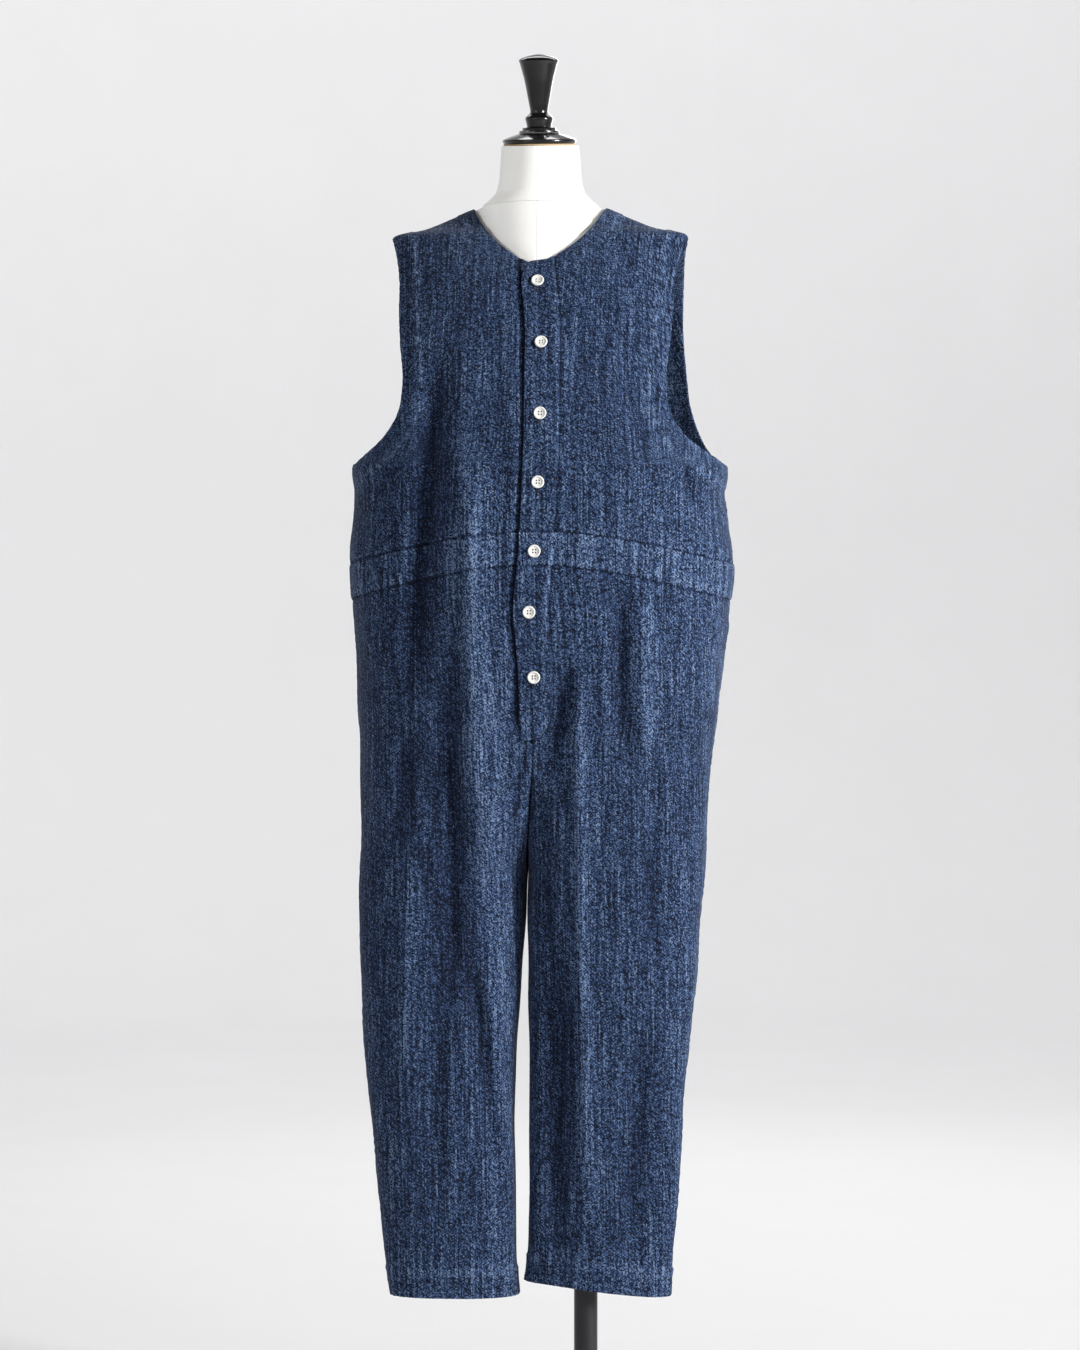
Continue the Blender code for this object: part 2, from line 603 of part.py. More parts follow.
def bodice_half(sign, is_front, inner_s):
    """Half a bodice: rows run from the centre edge or neckline out to the side seam or
    armhole, and the last row is the shoulder seam."""
    corner, underarm = CORNER_ROW / BODICE_ROWS, UNDERARM_ROW / BODICE_ROWS
    face = "front" if is_front else "back"
    centre_tau = 0.0 if is_front else 2.0
    bottom = WAIST_TOP + SEAM_GAP / 2

    def neck_edge(t):
        if is_front:
            x = inner_s + (sign * NECK_HALF - inner_s) * t
            lapped = V_POINT + 0.45 * np.abs(x)
            return x, np.where(x * sign < 0, lapped, neckline_height(x))
        x = sign * NECK_HALF * t
        return x, nape_height(x)

    def share_above(v, start):
        return 1 - np.clip((1 - v) / (1 - start), 0.0, 1.0) ** ROW_CROWDING

    def inner_edge(v):
        """Height and signed tau of the centre edge and, above it, the neckline."""
        t = share_above(v, corner)
        x, neck_z = neck_edge(t)
        corner_z = neck_edge(np.zeros(1))[1][0]
        w = bottom + (corner_z - bottom) * np.clip(v / corner, 0.0, 1.0)
        side, start = along_centre(np.full_like(v, inner_s), w)
        start = start if is_front else 2 - start
        edge_side = np.where(x * sign < 0, -sign, sign).astype(float)
        on_neck = HalfSection(edge_side, np.full(v.shape, is_front), neck_z).share_at_x(x)
        on_neck = on_neck if is_front else 2 - on_neck
        signed = np.where(v > corner, edge_side * on_neck, side * start)
        return w, neck_z, signed

    def outer_edge(v):
        z, x = edge_point(ARMHOLE[face], share_above(v, underarm))
        sides = np.full(v.shape, float(sign))
        tau = edge_tau(sides, is_front, z, x)
        seam_top = row_height(sides, np.ones_like(v), np.full_like(v, bottom))
        side_z = seam_top + (UNDERARM - seam_top) * np.clip(v / underarm, 0.0, 1.0)
        above = v > underarm
        return np.where(above, z, side_z), np.where(above, tau, 1.0)

    def place(u, v):
        w, neck_z, inner = inner_edge(v)
        outer_z, outer_tau = outer_edge(v)
        signed = inner + (sign * outer_tau - inner) * u
        side = np.where(signed * sign < 0, -sign, sign).astype(float)
        tau = np.abs(signed)
        above = v > corner
        inner_side, inner_tau = np.where(inner * sign < 0, -sign, sign).astype(float), np.abs(inner)
        flat = np.where(above, neck_z, row_height(side, tau, w))
        inner_z = np.where(above, neck_z, row_height(inner_side, inner_tau, w))
        far_z = np.where(above, neck_z, row_height(np.full_like(u, sign), outer_tau, w))
        along = np.sin(u * math.pi / 2) ** 2
        z = flat + (outer_z - far_z) * along
        z = np.where(u < 1e-6, inner_z, z)
        return side, seam_tau(side, tau, z, joined=True), z, np.zeros_like(u)
    return COLUMNS, BODICE_ROWS, place


def placket_place(u, v):
    bottom = WAIST_TOP + SEAM_GAP / 2
    corner_z = neckline_height(np.array([BAND_RIGHT]))[0]
    w = bottom + v * (corner_z - bottom)
    left = BAND_LEFT + 0.0041 * ease((v - 0.93) / 0.07)
    s = band_place(u, left, BAND_RIGHT - SEAM_GAP / 2)
    side, tau = along_centre(s, w)
    top = np.where(s < 0, V_POINT + 0.5 * s, neckline_height(s)) - corner_z
    z = row_height(side, tau, w) + top * v ** 8
    return side, tau, z, lap(s, BAND_RIGHT)


def fly_place(u, v):
    w = rows_at(FLY_ROWS, v)
    right = fly_edge(w)
    left = np.interp(w, [FLY_END, 0.92], [-0.013, BAND_LEFT])
    s = band_place(u, left, right - SEAM_GAP / 2)
    side, tau = along_centre(s, w)
    z = row_height(side, tau, w - np.where(v > 1 - 1e-6, SEAM_GAP / 2, 0))
    return side, tau, z, lap(s, right)


def garment(collection):
    half_gap = SEAM_GAP / 2
    lapped_end = BAND_RIGHT - BAND_EASE

    def right_edge(w):
        return np.where(w < FLY_END, -half_gap, fly_edge(w) - BAND_EASE)

    def left_edge(w):
        return np.where(w < FLY_END, half_gap, fly_edge(w) + half_gap)

    trouser_panel("trouser_front_right", -1, True, right_edge, collection)
    trouser_panel("trouser_front_left", 1, True, left_edge, collection)
    trouser_panel("trouser_back_right", -1, False, lambda w: np.full_like(w, -half_gap), collection)
    trouser_panel("trouser_back_left", 1, False, lambda w: np.full_like(w, half_gap), collection)
    cloth_piece("fly_placket", [(BAND_COLUMNS, len(FLY_ROWS) - 1, fly_place)], collection)
    cloth_piece("waistband_front_right", [waistband_main(-1, lapped_end, True)], collection)
    cloth_piece("waistband_front_left",
                [waistband_main(1, BAND_RIGHT + half_gap, True), (BAND_COLUMNS, 2, waistband_lap)],
                collection)
    cloth_piece("waistband_back",
                [waistband_main(-1, -JOINED, False), waistband_main(1, JOINED, False)],
                collection)
    cloth_piece("front_bodice_right", [bodice_half(-1, True, lapped_end)], collection)
    cloth_piece("front_bodice_left", [bodice_half(1, True, BAND_RIGHT + half_gap)], collection)
    cloth_piece("back_bodice",
                [bodice_half(-1, False, -JOINED), bodice_half(1, False, JOINED)], collection)
    cloth_piece("button_placket", [(BAND_COLUMNS, CORNER_ROW, placket_place)], collection)


def evaluated_mesh(item, name):
    bpy.context.view_layer.update()
    graph = bpy.context.evaluated_depsgraph_get()
    mesh = bpy.data.meshes.new_from_object(item.evaluated_get(graph))
    mesh.name = name
    return mesh


def turned(name, profile, finish, collection, steps=TURNED_STEPS):
    """A profile of height and radius, outer side from top to bottom, turned about Z."""
    mesh = bpy.data.meshes.new(name)
    points = [(row.radius, 0.0, row.height) for row in profile]
    mesh.from_pydata(points, [(i, i + 1) for i in range(len(points) - 1)], [])
    result = add_object(name, mesh, finish, collection)
    screw = result.modifiers.new("Turn", "SCREW")
    screw.steps = steps
    screw.render_steps = steps
    screw.use_merge_vertices = True
    screw.merge_threshold = 0.00001
    screw.use_smooth_shade = True
    return result


def button_mesh(cutters, collection):
    """One button: a raised rim round a shallow well with four holes through it."""
    profile = [
        Turn(0.0020, 0.0), Turn(0.0020, 0.0045), Turn(0.0030, 0.0058), Turn(0.0030, 0.0068),
        Turn(0.0018, BUTTON_RADIUS), Turn(0.0, 0.0066), Turn(0.0, 0.0),
    ]
    blank = turned("button_blank", profile, "button", cutters, steps=16)
    bm = bmesh.new()
    for across in (-1, 1):
        for up in (-1, 1):
            place = Matrix.Translation((across * BUTTON_HOLE_OFFSET, up * BUTTON_HOLE_OFFSET, 0.0015))
            bmesh.ops.create_cone(bm, cap_ends=True, segments=6, radius1=BUTTON_HOLE,
                                  radius2=BUTTON_HOLE, depth=0.006, matrix=place)
    holes = bpy.data.meshes.new("button_holes")
    bm.to_mesh(holes)
    bm.free()
    cutter = add_object("button_holes", holes, "button", cutters)
    cut = blank.modifiers.new("Holes", "BOOLEAN")
    cut.object = cutter
    cut.operation = "DIFFERENCE"
    mesh = evaluated_mesh(blank, "button")
    mesh.set_sharp_from_angle(angle=math.radians(35))
    for item in (blank, cutter):
        item.hide_render = True
        item.hide_viewport = True
        item.display_type = "WIRE"
    return mesh


def buttons(cutters, collection):
    mesh = button_mesh(cutters, collection)
    for number, w in enumerate(BUTTON_HEIGHTS, start=1):
        one = np.array([w])
        side, tau = along_centre(np.array([0.0005]), one)
        normal = cloth_normal(side, tau, one)[0]
        place = cloth_points(side, tau, one, OVERLAP + SEAM_GAP)[0]
        across = np.cross((0.0, 0.0, 1.0), normal)
        across /= np.linalg.norm(across)
        up = np.cross(normal, across)
        button = add_object(f"button_{number}", mesh, "button", collection)
        button.matrix_world = Matrix((
            (across[0], up[0], normal[0], place[0]), (across[1], up[1], normal[1], place[1]),
            (across[2], up[2], normal[2], place[2]), (0, 0, 0, 1)))


def form_rows():
    """The form's rings below the shoulders, then the garment's own set in under it."""
    shoulder = []
    for row in SHOULDERS:
        if row.z > 1.41:
            side = FORM_SIDE_CLEARANCE if row.z <= SHOULDER_TIP else 0.0
            shoulder.append(FormRing(row.z - FORM_CLEARANCE, row.outer - side,
                                     row.front + FORM_DEPTH_CLEARANCE,
                                     row.back - FORM_DEPTH_CLEARANCE))
    return FORM + shoulder + [FormRing(FORM_TOP, 0.0700, -0.0100, 0.0250)]


def oval_reach(angle, half_width, front, back, power):
    across = np.abs(np.cos(angle)) / half_width
    deep = np.abs(np.sin(angle)) / np.where(np.sin(angle) < 0, front, back)
    return (across ** power + deep ** power) ** (-1 / power)


def form_oval(table, angle, z, middle_y, power):
    one = np.array([z])
    return oval_reach(angle, column(table, table[0]._fields[1], one),
                      middle_y - column(table, "front", one),
                      column(table, "back", one) - middle_y, power)


def form_ring(z, is_neck=False, tilt=0.0):
    """One ring of the form: the body's or shoulders' oval joined with the neck's."""
    angle = np.linspace(0, 2 * math.pi, FORM_SEGMENTS, endpoint=False)
    middle_y = column(SIDE_SEAM, "y", z)
    if is_neck:
        reach = form_oval(NECK, angle, z, middle_y, 2.0)
    else:
        reach = form_oval(form_rows(), angle, z, middle_y, ROUNDNESS)
        if z >= NECK[0].z:
            reach = np.maximum(reach, form_oval(NECK, angle, z, middle_y, 2.0))
    x = np.clip(reach * np.cos(angle), -ARM_PLATE, ARM_PLATE)
    y = middle_y + reach * np.sin(angle)
    return np.stack([FORM_X + x, y, z + y * math.tan(tilt)], axis=-1)


def ring_body(name, rings, finish, collection):
    """A closed body through rings of points, the lowest first."""
    count = len(rings[0])
    bm = bmesh.new()
    made = bmesh.ops.create_grid(bm, x_segments=count, y_segments=len(rings) - 1, size=0.5)["verts"]
    for vert in made:
        across = round((vert.co.x + 0.5) * count) % count
        up = round((vert.co.y + 0.5) * (len(rings) - 1))
        vert.co = rings[up][across]
    bmesh.ops.remove_doubles(bm, verts=bm.verts, dist=0.00005)
    bmesh.ops.holes_fill(bm, edges=[edge for edge in bm.edges if edge.is_boundary], sides=0)
    bmesh.ops.recalc_face_normals(bm, faces=bm.faces)
    bmesh.ops.triangulate(bm, faces=bm.faces)
    mesh = bpy.data.meshes.new(name)
    bm.to_mesh(mesh)
    bm.free()
    mesh.shade_smooth()
    mesh.set_sharp_from_angle(angle=math.radians(40))
    return add_object(name, mesh, finish, collection)


def dress_form(collection):
    body_heights = [0.830, 0.836, 0.860, 0.900, 0.950, 1.000, 1.050, 1.100, 1.150, 1.200, 1.250,
                    1.300, 1.340, 1.370, 1.3974, 1.4127, 1.425, 1.4374, 1.448, 1.4545, 1.4600,
                    1.4660, 1.4720, 1.479, 1.485, 1.4885, FORM_TOP]
    ring_body("form_torso", [form_ring(z) for z in body_heights], "form_cover", collection)
    neck_heights = [FORM_TOP + SEAM_GAP, 1.4955, 1.4995, 1.506, 1.515, 1.530, 1.548, NECK_TOP]
    rings = []
    for z in neck_heights:
        share = (z - neck_heights[0]) / (NECK_TOP - neck_heights[0])
        rings.append(form_ring(z, True, NECK_TILT * share))
    ring_body("form_neck", rings, "form_cover", collection)

    top = bpy.data.objects.new("neck_top", None)
    collection.objects.link(top)
    middle_y = (column(NECK, "front", np.array([NECK_TOP]))[0]
                + column(NECK, "back", np.array([NECK_TOP]))[0]) / 2
    top.location = (FORM_X, middle_y, NECK_TOP + middle_y * math.tan(NECK_TILT) + 0.0004)
    top.rotation_euler = (NECK_TILT, 0.0, 0.0)
    for name, profile in (("neck_cap", CAP), ("finial", FINIAL)):
        turned(name, profile, "black_gloss", collection).parent = top


def stand(collection):
    bottom = FORM[0].z - SEAM_GAP
    flange = [
        Turn(bottom, 0.0), Turn(bottom, FLANGE_RADIUS), Turn(bottom - FLANGE_THICKNESS, FLANGE_RADIUS),
        Turn(bottom - FLANGE_THICKNESS, SLEEVE_RADIUS), Turn(bottom - SLEEVE_LENGTH, SLEEVE_RADIUS),
        Turn(bottom - SLEEVE_LENGTH, 0.0),
    ]
    turned("pole_flange", flange, "stand_metal", collection, steps=32)
    base = [
        Turn(BOSS_HEIGHT, 0.0), Turn(BOSS_HEIGHT, BOSS_RADIUS - STAND_BEVEL),
        Turn(BOSS_HEIGHT - STAND_BEVEL, BOSS_RADIUS), Turn(BASE_THICKNESS, BOSS_RADIUS),
        Turn(BASE_THICKNESS, BASE_RADIUS - STAND_BEVEL), Turn(BASE_THICKNESS - STAND_BEVEL, BASE_RADIUS),
        Turn(0.0, BASE_RADIUS), Turn(0.0, 0.0),
    ]
    turned("stand_base", base, "stand_metal", collection, steps=64)
    low, high = BOSS_HEIGHT + SEAM_GAP, bottom - SLEEVE_LENGTH - SEAM_GAP
    bpy.ops.mesh.primitive_cylinder_add(vertices=24, radius=POLE_RADIUS, depth=high - low,
                                        location=(0, 0, (low + high) / 2))
    pole = bpy.context.object
    pole.name = "pole"
    pole.data.materials.append(finish_material("stand_metal"))
    pole.data.shade_smooth()
    pole.data.set_sharp_from_angle(angle=math.radians(40))
    for holder in pole.users_collection:
        holder.objects.unlink(pole)
    collection.objects.link(pole)


def main():
    clear_scene()
    collection = make_collection("denim_jumpsuit_on_dress_form")
    cutters = make_collection("cutters")
    garment(collection)
    buttons(cutters, collection)
    dress_form(collection)
    stand(collection)


main()
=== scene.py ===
"""Looks of the sleeveless denim jumpsuit on its dress form.

Metres, +Z up, the garment's front towards -Y. Right and left are the wearer's: right is -X,
left is +X. The cloth pieces follow the same sections as the solids that they stand for.
"""

import math
from collections import namedtuple

import bpy
import numpy as np
from mathutils import Matrix, Vector
from mathutils.kdtree import KDTree


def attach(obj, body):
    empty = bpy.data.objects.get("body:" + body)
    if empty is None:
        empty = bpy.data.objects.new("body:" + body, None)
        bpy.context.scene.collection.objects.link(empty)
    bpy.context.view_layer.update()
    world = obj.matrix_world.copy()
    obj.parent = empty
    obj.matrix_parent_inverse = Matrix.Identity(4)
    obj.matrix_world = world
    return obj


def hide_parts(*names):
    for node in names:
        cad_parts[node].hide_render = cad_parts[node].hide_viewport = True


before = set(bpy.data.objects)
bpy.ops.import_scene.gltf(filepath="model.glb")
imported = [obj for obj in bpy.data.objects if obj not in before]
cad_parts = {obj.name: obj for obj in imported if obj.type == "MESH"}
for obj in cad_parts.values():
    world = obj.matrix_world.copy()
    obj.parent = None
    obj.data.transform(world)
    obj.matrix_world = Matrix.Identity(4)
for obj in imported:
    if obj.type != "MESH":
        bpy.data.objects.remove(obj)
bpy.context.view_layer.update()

# Cloth
WALL = 0.0012
BAND_WALL = 0.0019                  # the lapped band is folded double
LAP_LIFT = 0.0023                   # how far the lapped band stands over the layer below
WAISTBAND_LIFT = 0.0012
FACING_WALL = 0.0008
FACING_GAP = 0.0003
FACING_STEPS = 6
FACING_SHIFT = 0.37                 # moves the weave, so that a facing doesn't repeat its panel
ARRAY_STEP = 10.0
ROUNDNESS = 2.3                     # exponent of every section's curves

# Heights at the centre front
HEM = 0.188
WAIST_LOW = 1.058
WAIST_TOP = 1.097
UNDERARM = 1.178
V_POINT = 1.4127
NECK_POINT = 1.490
SHOULDER_TIP = 1.4556
NAPE = 1.472

# Openings' edges and bands
NECK_HALF = 0.080
BACK_DIP = 0.28                     # share of the side seam's dip at the centre back
BAND_LEFT = -0.0175                 # the lapped band's edges, from the centre line
BAND_RIGHT = 0.0235
BAND_EASE = 0.0055                  # where the lap comes down to the panel beside it
FLY_END = 0.854
FLY_CURVE = 0.046
ARMHOLE_BAND = 0.024                # width of the facing stitched down round each armhole
NECK_BAND = 0.020
HEM_BAND = 0.030

FORM_X = -0.055                     # where the garment and the form stand, from the pole


def table(kind, rows):
    """Rows of numbers with the names of their columns."""
    return [kind(*row) for row in rows]


# Half sections of each side of the garment, as in the solids. inner is left out above the
# legs, and ridge above the trousers.
Section = namedtuple("Section", "z outer front back ridge inner", defaults=(0.0002, 0.00015))
RIGHT = table(Section, [
    (0.188, 0.1820, -0.047, 0.046, 0.096, 0.0110), (0.240, 0.1884, -0.049, 0.048, 0.098, 0.0140),
    (0.300, 0.1944, -0.051, 0.050, 0.099, 0.0152), (0.420, 0.2064, -0.058, 0.058, 0.101, 0.0164),
    (0.540, 0.2148, -0.067, 0.070, 0.098, 0.0092), (0.660, 0.2172, -0.078, 0.088, 0.081, 0.0020),
    (0.720, 0.2148, -0.086, 0.098, 0.073), (0.780, 0.2160, -0.098, 0.108, 0.076),
    (0.840, 0.2160, -0.110, 0.115, 0.078), (0.900, 0.2184, -0.121, 0.119, 0.065),
    (0.960, 0.2208, -0.1285, 0.120, 0.039), (1.020, 0.2256, -0.133, 0.118),
    (1.050, 0.2268, -0.134, 0.1145), (1.080, 0.2268, -0.135, 0.113), (1.110, 0.2244, -0.136, 0.113),
    (1.140, 0.2220, -0.138, 0.1135), (1.178, 0.2232, -0.139, 0.114),
])
LEFT = table(Section, [
    (0.188, 0.1570, -0.035, 0.030, 0.073, -0.0062), (0.240, 0.1608, -0.036, 0.032, 0.0715, -0.0008),
    (0.300, 0.1656, -0.038, 0.036, 0.070, 0.0004), (0.420, 0.1728, -0.048, 0.049, 0.068, 0.0016),
    (0.540, 0.1860, -0.060, 0.064, 0.066, 0.0004), (0.660, 0.1944, -0.078, 0.088, 0.064, 0.0004),
    (0.720, 0.1992, -0.086, 0.098, 0.062), (0.780, 0.2016, -0.098, 0.108, 0.056),
    (0.840, 0.2076, -0.110, 0.115, 0.048), (0.900, 0.2148, -0.121, 0.119, 0.046),
    (0.960, 0.2208, -0.1285, 0.120, 0.042), (1.020, 0.2280, -0.133, 0.118),
    (1.050, 0.2316, -0.134, 0.1145), (1.080, 0.2304, -0.135, 0.113), (1.110, 0.2256, -0.136, 0.113),
    (1.140, 0.2220, -0.138, 0.1135), (1.178, 0.2244, -0.139, 0.114),
])
SHOULDERS = table(Section, [
    (1.230, 0.2200, -0.1385, 0.114), (1.280, 0.2140, -0.132, 0.112), (1.320, 0.2080, -0.120, 0.108),
    (1.360, 0.2000, -0.105, 0.101), (1.400, 0.1900, -0.086, 0.090), (1.420, 0.1865, -0.073, 0.083),
    (1.440, 0.1830, -0.058, 0.074), (1.4556, 0.1760, -0.046, 0.065), (1.466, 0.1370, -0.034, 0.056),
    (1.476, 0.1125, -0.026, 0.045), (1.4856, 0.0912, -0.018, 0.036), (1.490, 0.0815, -0.014, 0.030),
])
SIDES = {-1: RIGHT + SHOULDERS, 1: LEFT + SHOULDERS}
Centre = namedtuple("Centre", "z x depth")
CENTRE = table(Centre, [
    (0.684, -0.0142, 0.0), (0.695, -0.0138, 0.0), (0.702, -0.0134, 0.24), (0.715, -0.0125, 0.43),
    (0.740, -0.0100, 0.64), (0.780, -0.0060, 0.83), (0.840, -0.0010, 0.97), (0.880, 0.0003, 1.0),
    (0.928, 0.0010, 1.0), (1.003, -0.0040, 1.0), (1.074, 0.0020, 1.0), (1.155, 0.0065, 1.0),
    (1.234, 0.0090, 1.0), (1.3176, 0.0090, 1.0), (1.390, 0.0030, 1.0), (1.4127, 0.0, 1.0),
])
SideSeam = namedtuple("SideSeam", "z y")
SIDE_SEAM = table(SideSeam, [
    (0.188, 0.0), (1.200, 0.0), (1.360, 0.002), (1.4556, 0.005), (1.490, 0.008),
])
Dip = namedtuple("Dip", "z drop")
DIP = table(Dip, [
    (0.700, 0.0), (0.850, 0.015), (0.950, 0.030), (1.058, 0.038), (1.097, 0.035), (1.200, 0.025),
    (1.300, 0.010), (1.440, 0.0),
])
HEM_LIFT = {-1: 0.0, 1: 0.017}
HEM_LIFT_FADE = 0.10
Edge = namedtuple("Edge", "z x")
ARMHOLE = {
    "front": table(Edge, [
        (1.178, 0.2256), (1.190, 0.2035), (1.216, 0.173), (1.250, 0.157), (1.280, 0.155),
        (1.320, 0.159), (1.360, 0.162), (1.390, 0.163), (1.420, 0.167), (1.440, 0.172),
        (1.4556, 0.177),
    ]),
    "back": table(Edge, [
        (1.178, 0.2256), (1.190, 0.210), (1.226, 0.187), (1.270, 0.175), (1.360, 0.1695),
        (1.430, 0.172), (1.4556, 0.177),
    ]),
}

# Folds and creases: a line from low to high, x from the centre plane; a positive height
# stands out of the cloth and a negative one is a trough. FOLDS are those of the solids.
Fold = namedtuple("Fold", "side face z_low x_low z_high x_high half_width height")
FOLDS = table(Fold, [
    (-1, "front", 0.870, -0.150, 1.340, -0.105, 0.017, -0.0070),
    (-1, "front", 0.660, -0.068, 1.260, -0.074, 0.018, 0.0050),
    (-1, "front", 0.900, -0.034, 1.230, -0.034, 0.009, -0.0030),
    (1, "front", 0.820, 0.104, 1.060, 0.100, 0.009, -0.0045),
    (1, "front", 0.800, 0.133, 1.060, 0.130, 0.013, 0.0040),
    (1, "front", 0.560, 0.138, 0.840, 0.137, 0.014, -0.0035),
    (1, "front", 0.200, 0.060, 1.030, 0.050, 0.010, 0.0045),
    (1, "front", 0.190, 0.110, 0.560, 0.122, 0.012, -0.0035),
    (1, "front", 1.120, 0.190, 1.205, 0.164, 0.007, -0.0035),
    (1, "front", 0.790, 0.006, 0.970, 0.052, 0.014, -0.0045),
    (-1, "front", 0.280, -0.040, 0.650, -0.086, 0.011, -0.0050),
    (-1, "front", 0.230, -0.104, 0.600, -0.098, 0.012, 0.0040),
    (-1, "front", 0.700, -0.165, 0.880, -0.150, 0.013, -0.0040),
    (-1, "back", 0.300, -0.110, 0.820, -0.120, 0.016, -0.0050),
    (1, "back", 0.260, 0.075, 0.780, 0.105, 0.015, -0.0050),
    (-1, "back", 0.920, -0.090, 1.300, -0.070, 0.018, -0.0060),
    (1, "back", 0.900, 0.120, 1.330, 0.088, 0.018, -0.0060),
    (1, "back", 0.980, 0.048, 1.240, 0.040, 0.014, 0.0040),
])
FOLD_MARGIN = 0.015
FOLD_ENDS = 0.3                     # share of its length over which a fold dies away
FOLD_GAIN = 1.7                     # the cloth's folds are sharper than the solids'
FOLD_PAINTED_SHADE = 40.0                    # painted light on a fold's ridge and painted shade in its trough, for each metre that the fold stands out
FOLD_PAINTED_SHADE_LIMIT = 0.5
CREASES = table(Fold, [
    (-1, "front", 1.140, -0.205, 1.175, -0.160, 0.006, -0.0016),
    (-1, "front", 1.100, -0.200, 1.150, -0.165, 0.007, 0.0014),
    (1, "front", 0.985, 0.216, 1.020, 0.205, 0.005, 0.0020),
    (1, "front", 0.880, 0.200, 0.935, 0.212, 0.008, 0.0022),
    (-1, "front", 0.740, -0.030, 0.860, -0.012, 0.007, -0.0020),
    (1, "front", 0.700, 0.018, 0.800, 0.004, 0.007, -0.0018),
    (-1, "front", 0.420, -0.160, 0.700, -0.150, 0.010, 0.0020),
    (1, "front", 0.300, 0.030, 0.620, 0.026, 0.009, -0.0020),
    (-1, "front", 0.160, -0.048, 1.040, -0.050, 0.016, 0.0030),
    (-1, "front", 0.420, -0.100, 1.050, -0.092, 0.010, -0.0030),
    (1, "front", 0.170, 0.014, 0.760, 0.014, 0.010, -0.0028),
    (-1, "front", 0.860, -0.034, 1.190, -0.034, 0.009, 0.0030),
    (1, "front", 1.110, 0.128, 1.185, 0.150, 0.006, -0.0016),
    (-1, "front", 0.150, -0.106, 1.030, -0.112, 0.026, -0.0042),
    (1, "front", 0.160, 0.024, 0.700, 0.030, 0.013, -0.0034),
])

# How each kind of edge looks. roll sinks the edge, band raises what lies between the edge
# and its stitch line, and the puckers run across it.
EdgeLook = namedtuple("EdgeLook", "roll pucker pitch reach fade band stitch", defaults=(0.0, 0.0))
PLAIN_SEAM = EdgeLook(0.0008, 0.00020, 0.0110, 0.008, 0.15)
PUCKERED_SEAM = EdgeLook(0.0014, 0.00080, 0.0088, 0.011, 0.60)
WAIST_EDGE = EdgeLook(0.0010, 0.00110, 0.0090, 0.014, 0.80)
LAP_EDGE = EdgeLook(0.0003, 0.00020, 0.0120, 0.006, 0.30)
JOINED_EDGE = EdgeLook(0.0009, 0.00030, 0.0105, 0.006, 0.30)
FACED_EDGE = EdgeLook(0.0002, 0.00050, 0.0125, 0.005, 0.80, 0.0010, ARMHOLE_BAND)
NECK_EDGE = EdgeLook(0.0002, 0.00035, 0.0130, 0.007, 0.40, 0.0008, NECK_BAND)
HEM_EDGE = EdgeLook(0.0002, 0.00080, 0.0100, 0.007, 0.75, 0.0012, HEM_BAND)
INNER_FADE = 0.8                    # how much of the fading shows at the edge itself
EVEN_FADE = 0.45                    # share of the fading that the puckers leave even
# The cloth's tone value: fading at edges and puckers raises it, painted light on fold ridges raises it,
# and painted shade in seams, beside the lap and in fold troughs lowers it
WEAR_AND_SHADE_LIMITS = (-1.6, 1.0)
BAND_FADE = 0.0028
ROLL_REACH = 0.0024
SEAM_PAINTED_SHADE = 560.0                  # painted shade in a seam, for each metre that its edge sinks
SEAM_PAINTED_SHADE_WIDTH = 0.0012
LAP_PAINTED_SHADOW = 1.6                     # painted shadow on the line just beside the lap's edge
LAP_PAINTED_SHADOW_WIDTH = 0.0017
RIPPLE = 0.0009
RIPPLE_LENGTH = 0.060
RIPPLE_SEED = 5
CALM_BESIDE_BAND = 0.022            # the ripples die away this far from the lapped band
SHOULDER_CALM = 1.360               # and above this height, over this rise
SHOULDER_RISE = 0.050
LAP_HOLLOW = 0.0020                 # how far the layer below sinks just beside the lap
LAP_HOLLOW_WIDTH = 0.0045
LAP_LINE = 0.7                      # how far outside the lap's edge that line lies, in widths
LAP_LINE_START = 0.04
FLY_CALM = 0.03

# Where the silhouette dips in or swells out at the sides
Wave = namedtuple("Wave", "side z half_height out")
WAVES = table(Wave, [
    (-1, 1.156, 0.010, -0.0028), (-1, 1.090, 0.018, 0.0010), (-1, 0.900, 0.030, 0.0012),
    (1, 1.150, 0.010, -0.0026), (1, 1.122, 0.012, 0.0010), (1, 0.905, 0.016, -0.0016),
    (1, 0.985, 0.012, 0.0018),
])
WAVE_POWER = 10                     # keeps the waves at the silhouette

# Stitches
STITCH = 0.0024
STITCH_PITCH = 0.0033
THREAD_RADIUS = 0.00026
THREAD_RISE = 0.4                   # how far a stitch stands out, in radii
WAIST_STITCH = 0.0030               # the stitch line's distance from a waistband edge
LAP_STITCH = 0.0022
SATIN = 0.0019
SATIN_PITCH = 0.00055
BUTTONHOLE_HALF = 0.0086
BUTTONHOLE_SHIFT = 0.0038           # a buttonhole's middle, from its button's
BUTTONHOLE_WIDTH = 0.0009

# Buttons, on the centre line
BUTTON_HEIGHTS = [1.392, 1.3176, 1.2344, 1.1546, 1.0743, 1.0033, 0.9277]
WAIST_BUTTON = 5                    # its buttonhole lies along the waistband
BUTTON_GAP = 0.0003
BUTTON_OFF_CENTRE = 0.0005
BUTTON_HOLE = 0.00095
BUTTON_HOLE_OFFSET = 0.0016
BUTTON_CUT = 0.010                  # length of what cuts a hole, and its middle's height
BUTTON_CUT_MIDDLE = 0.001

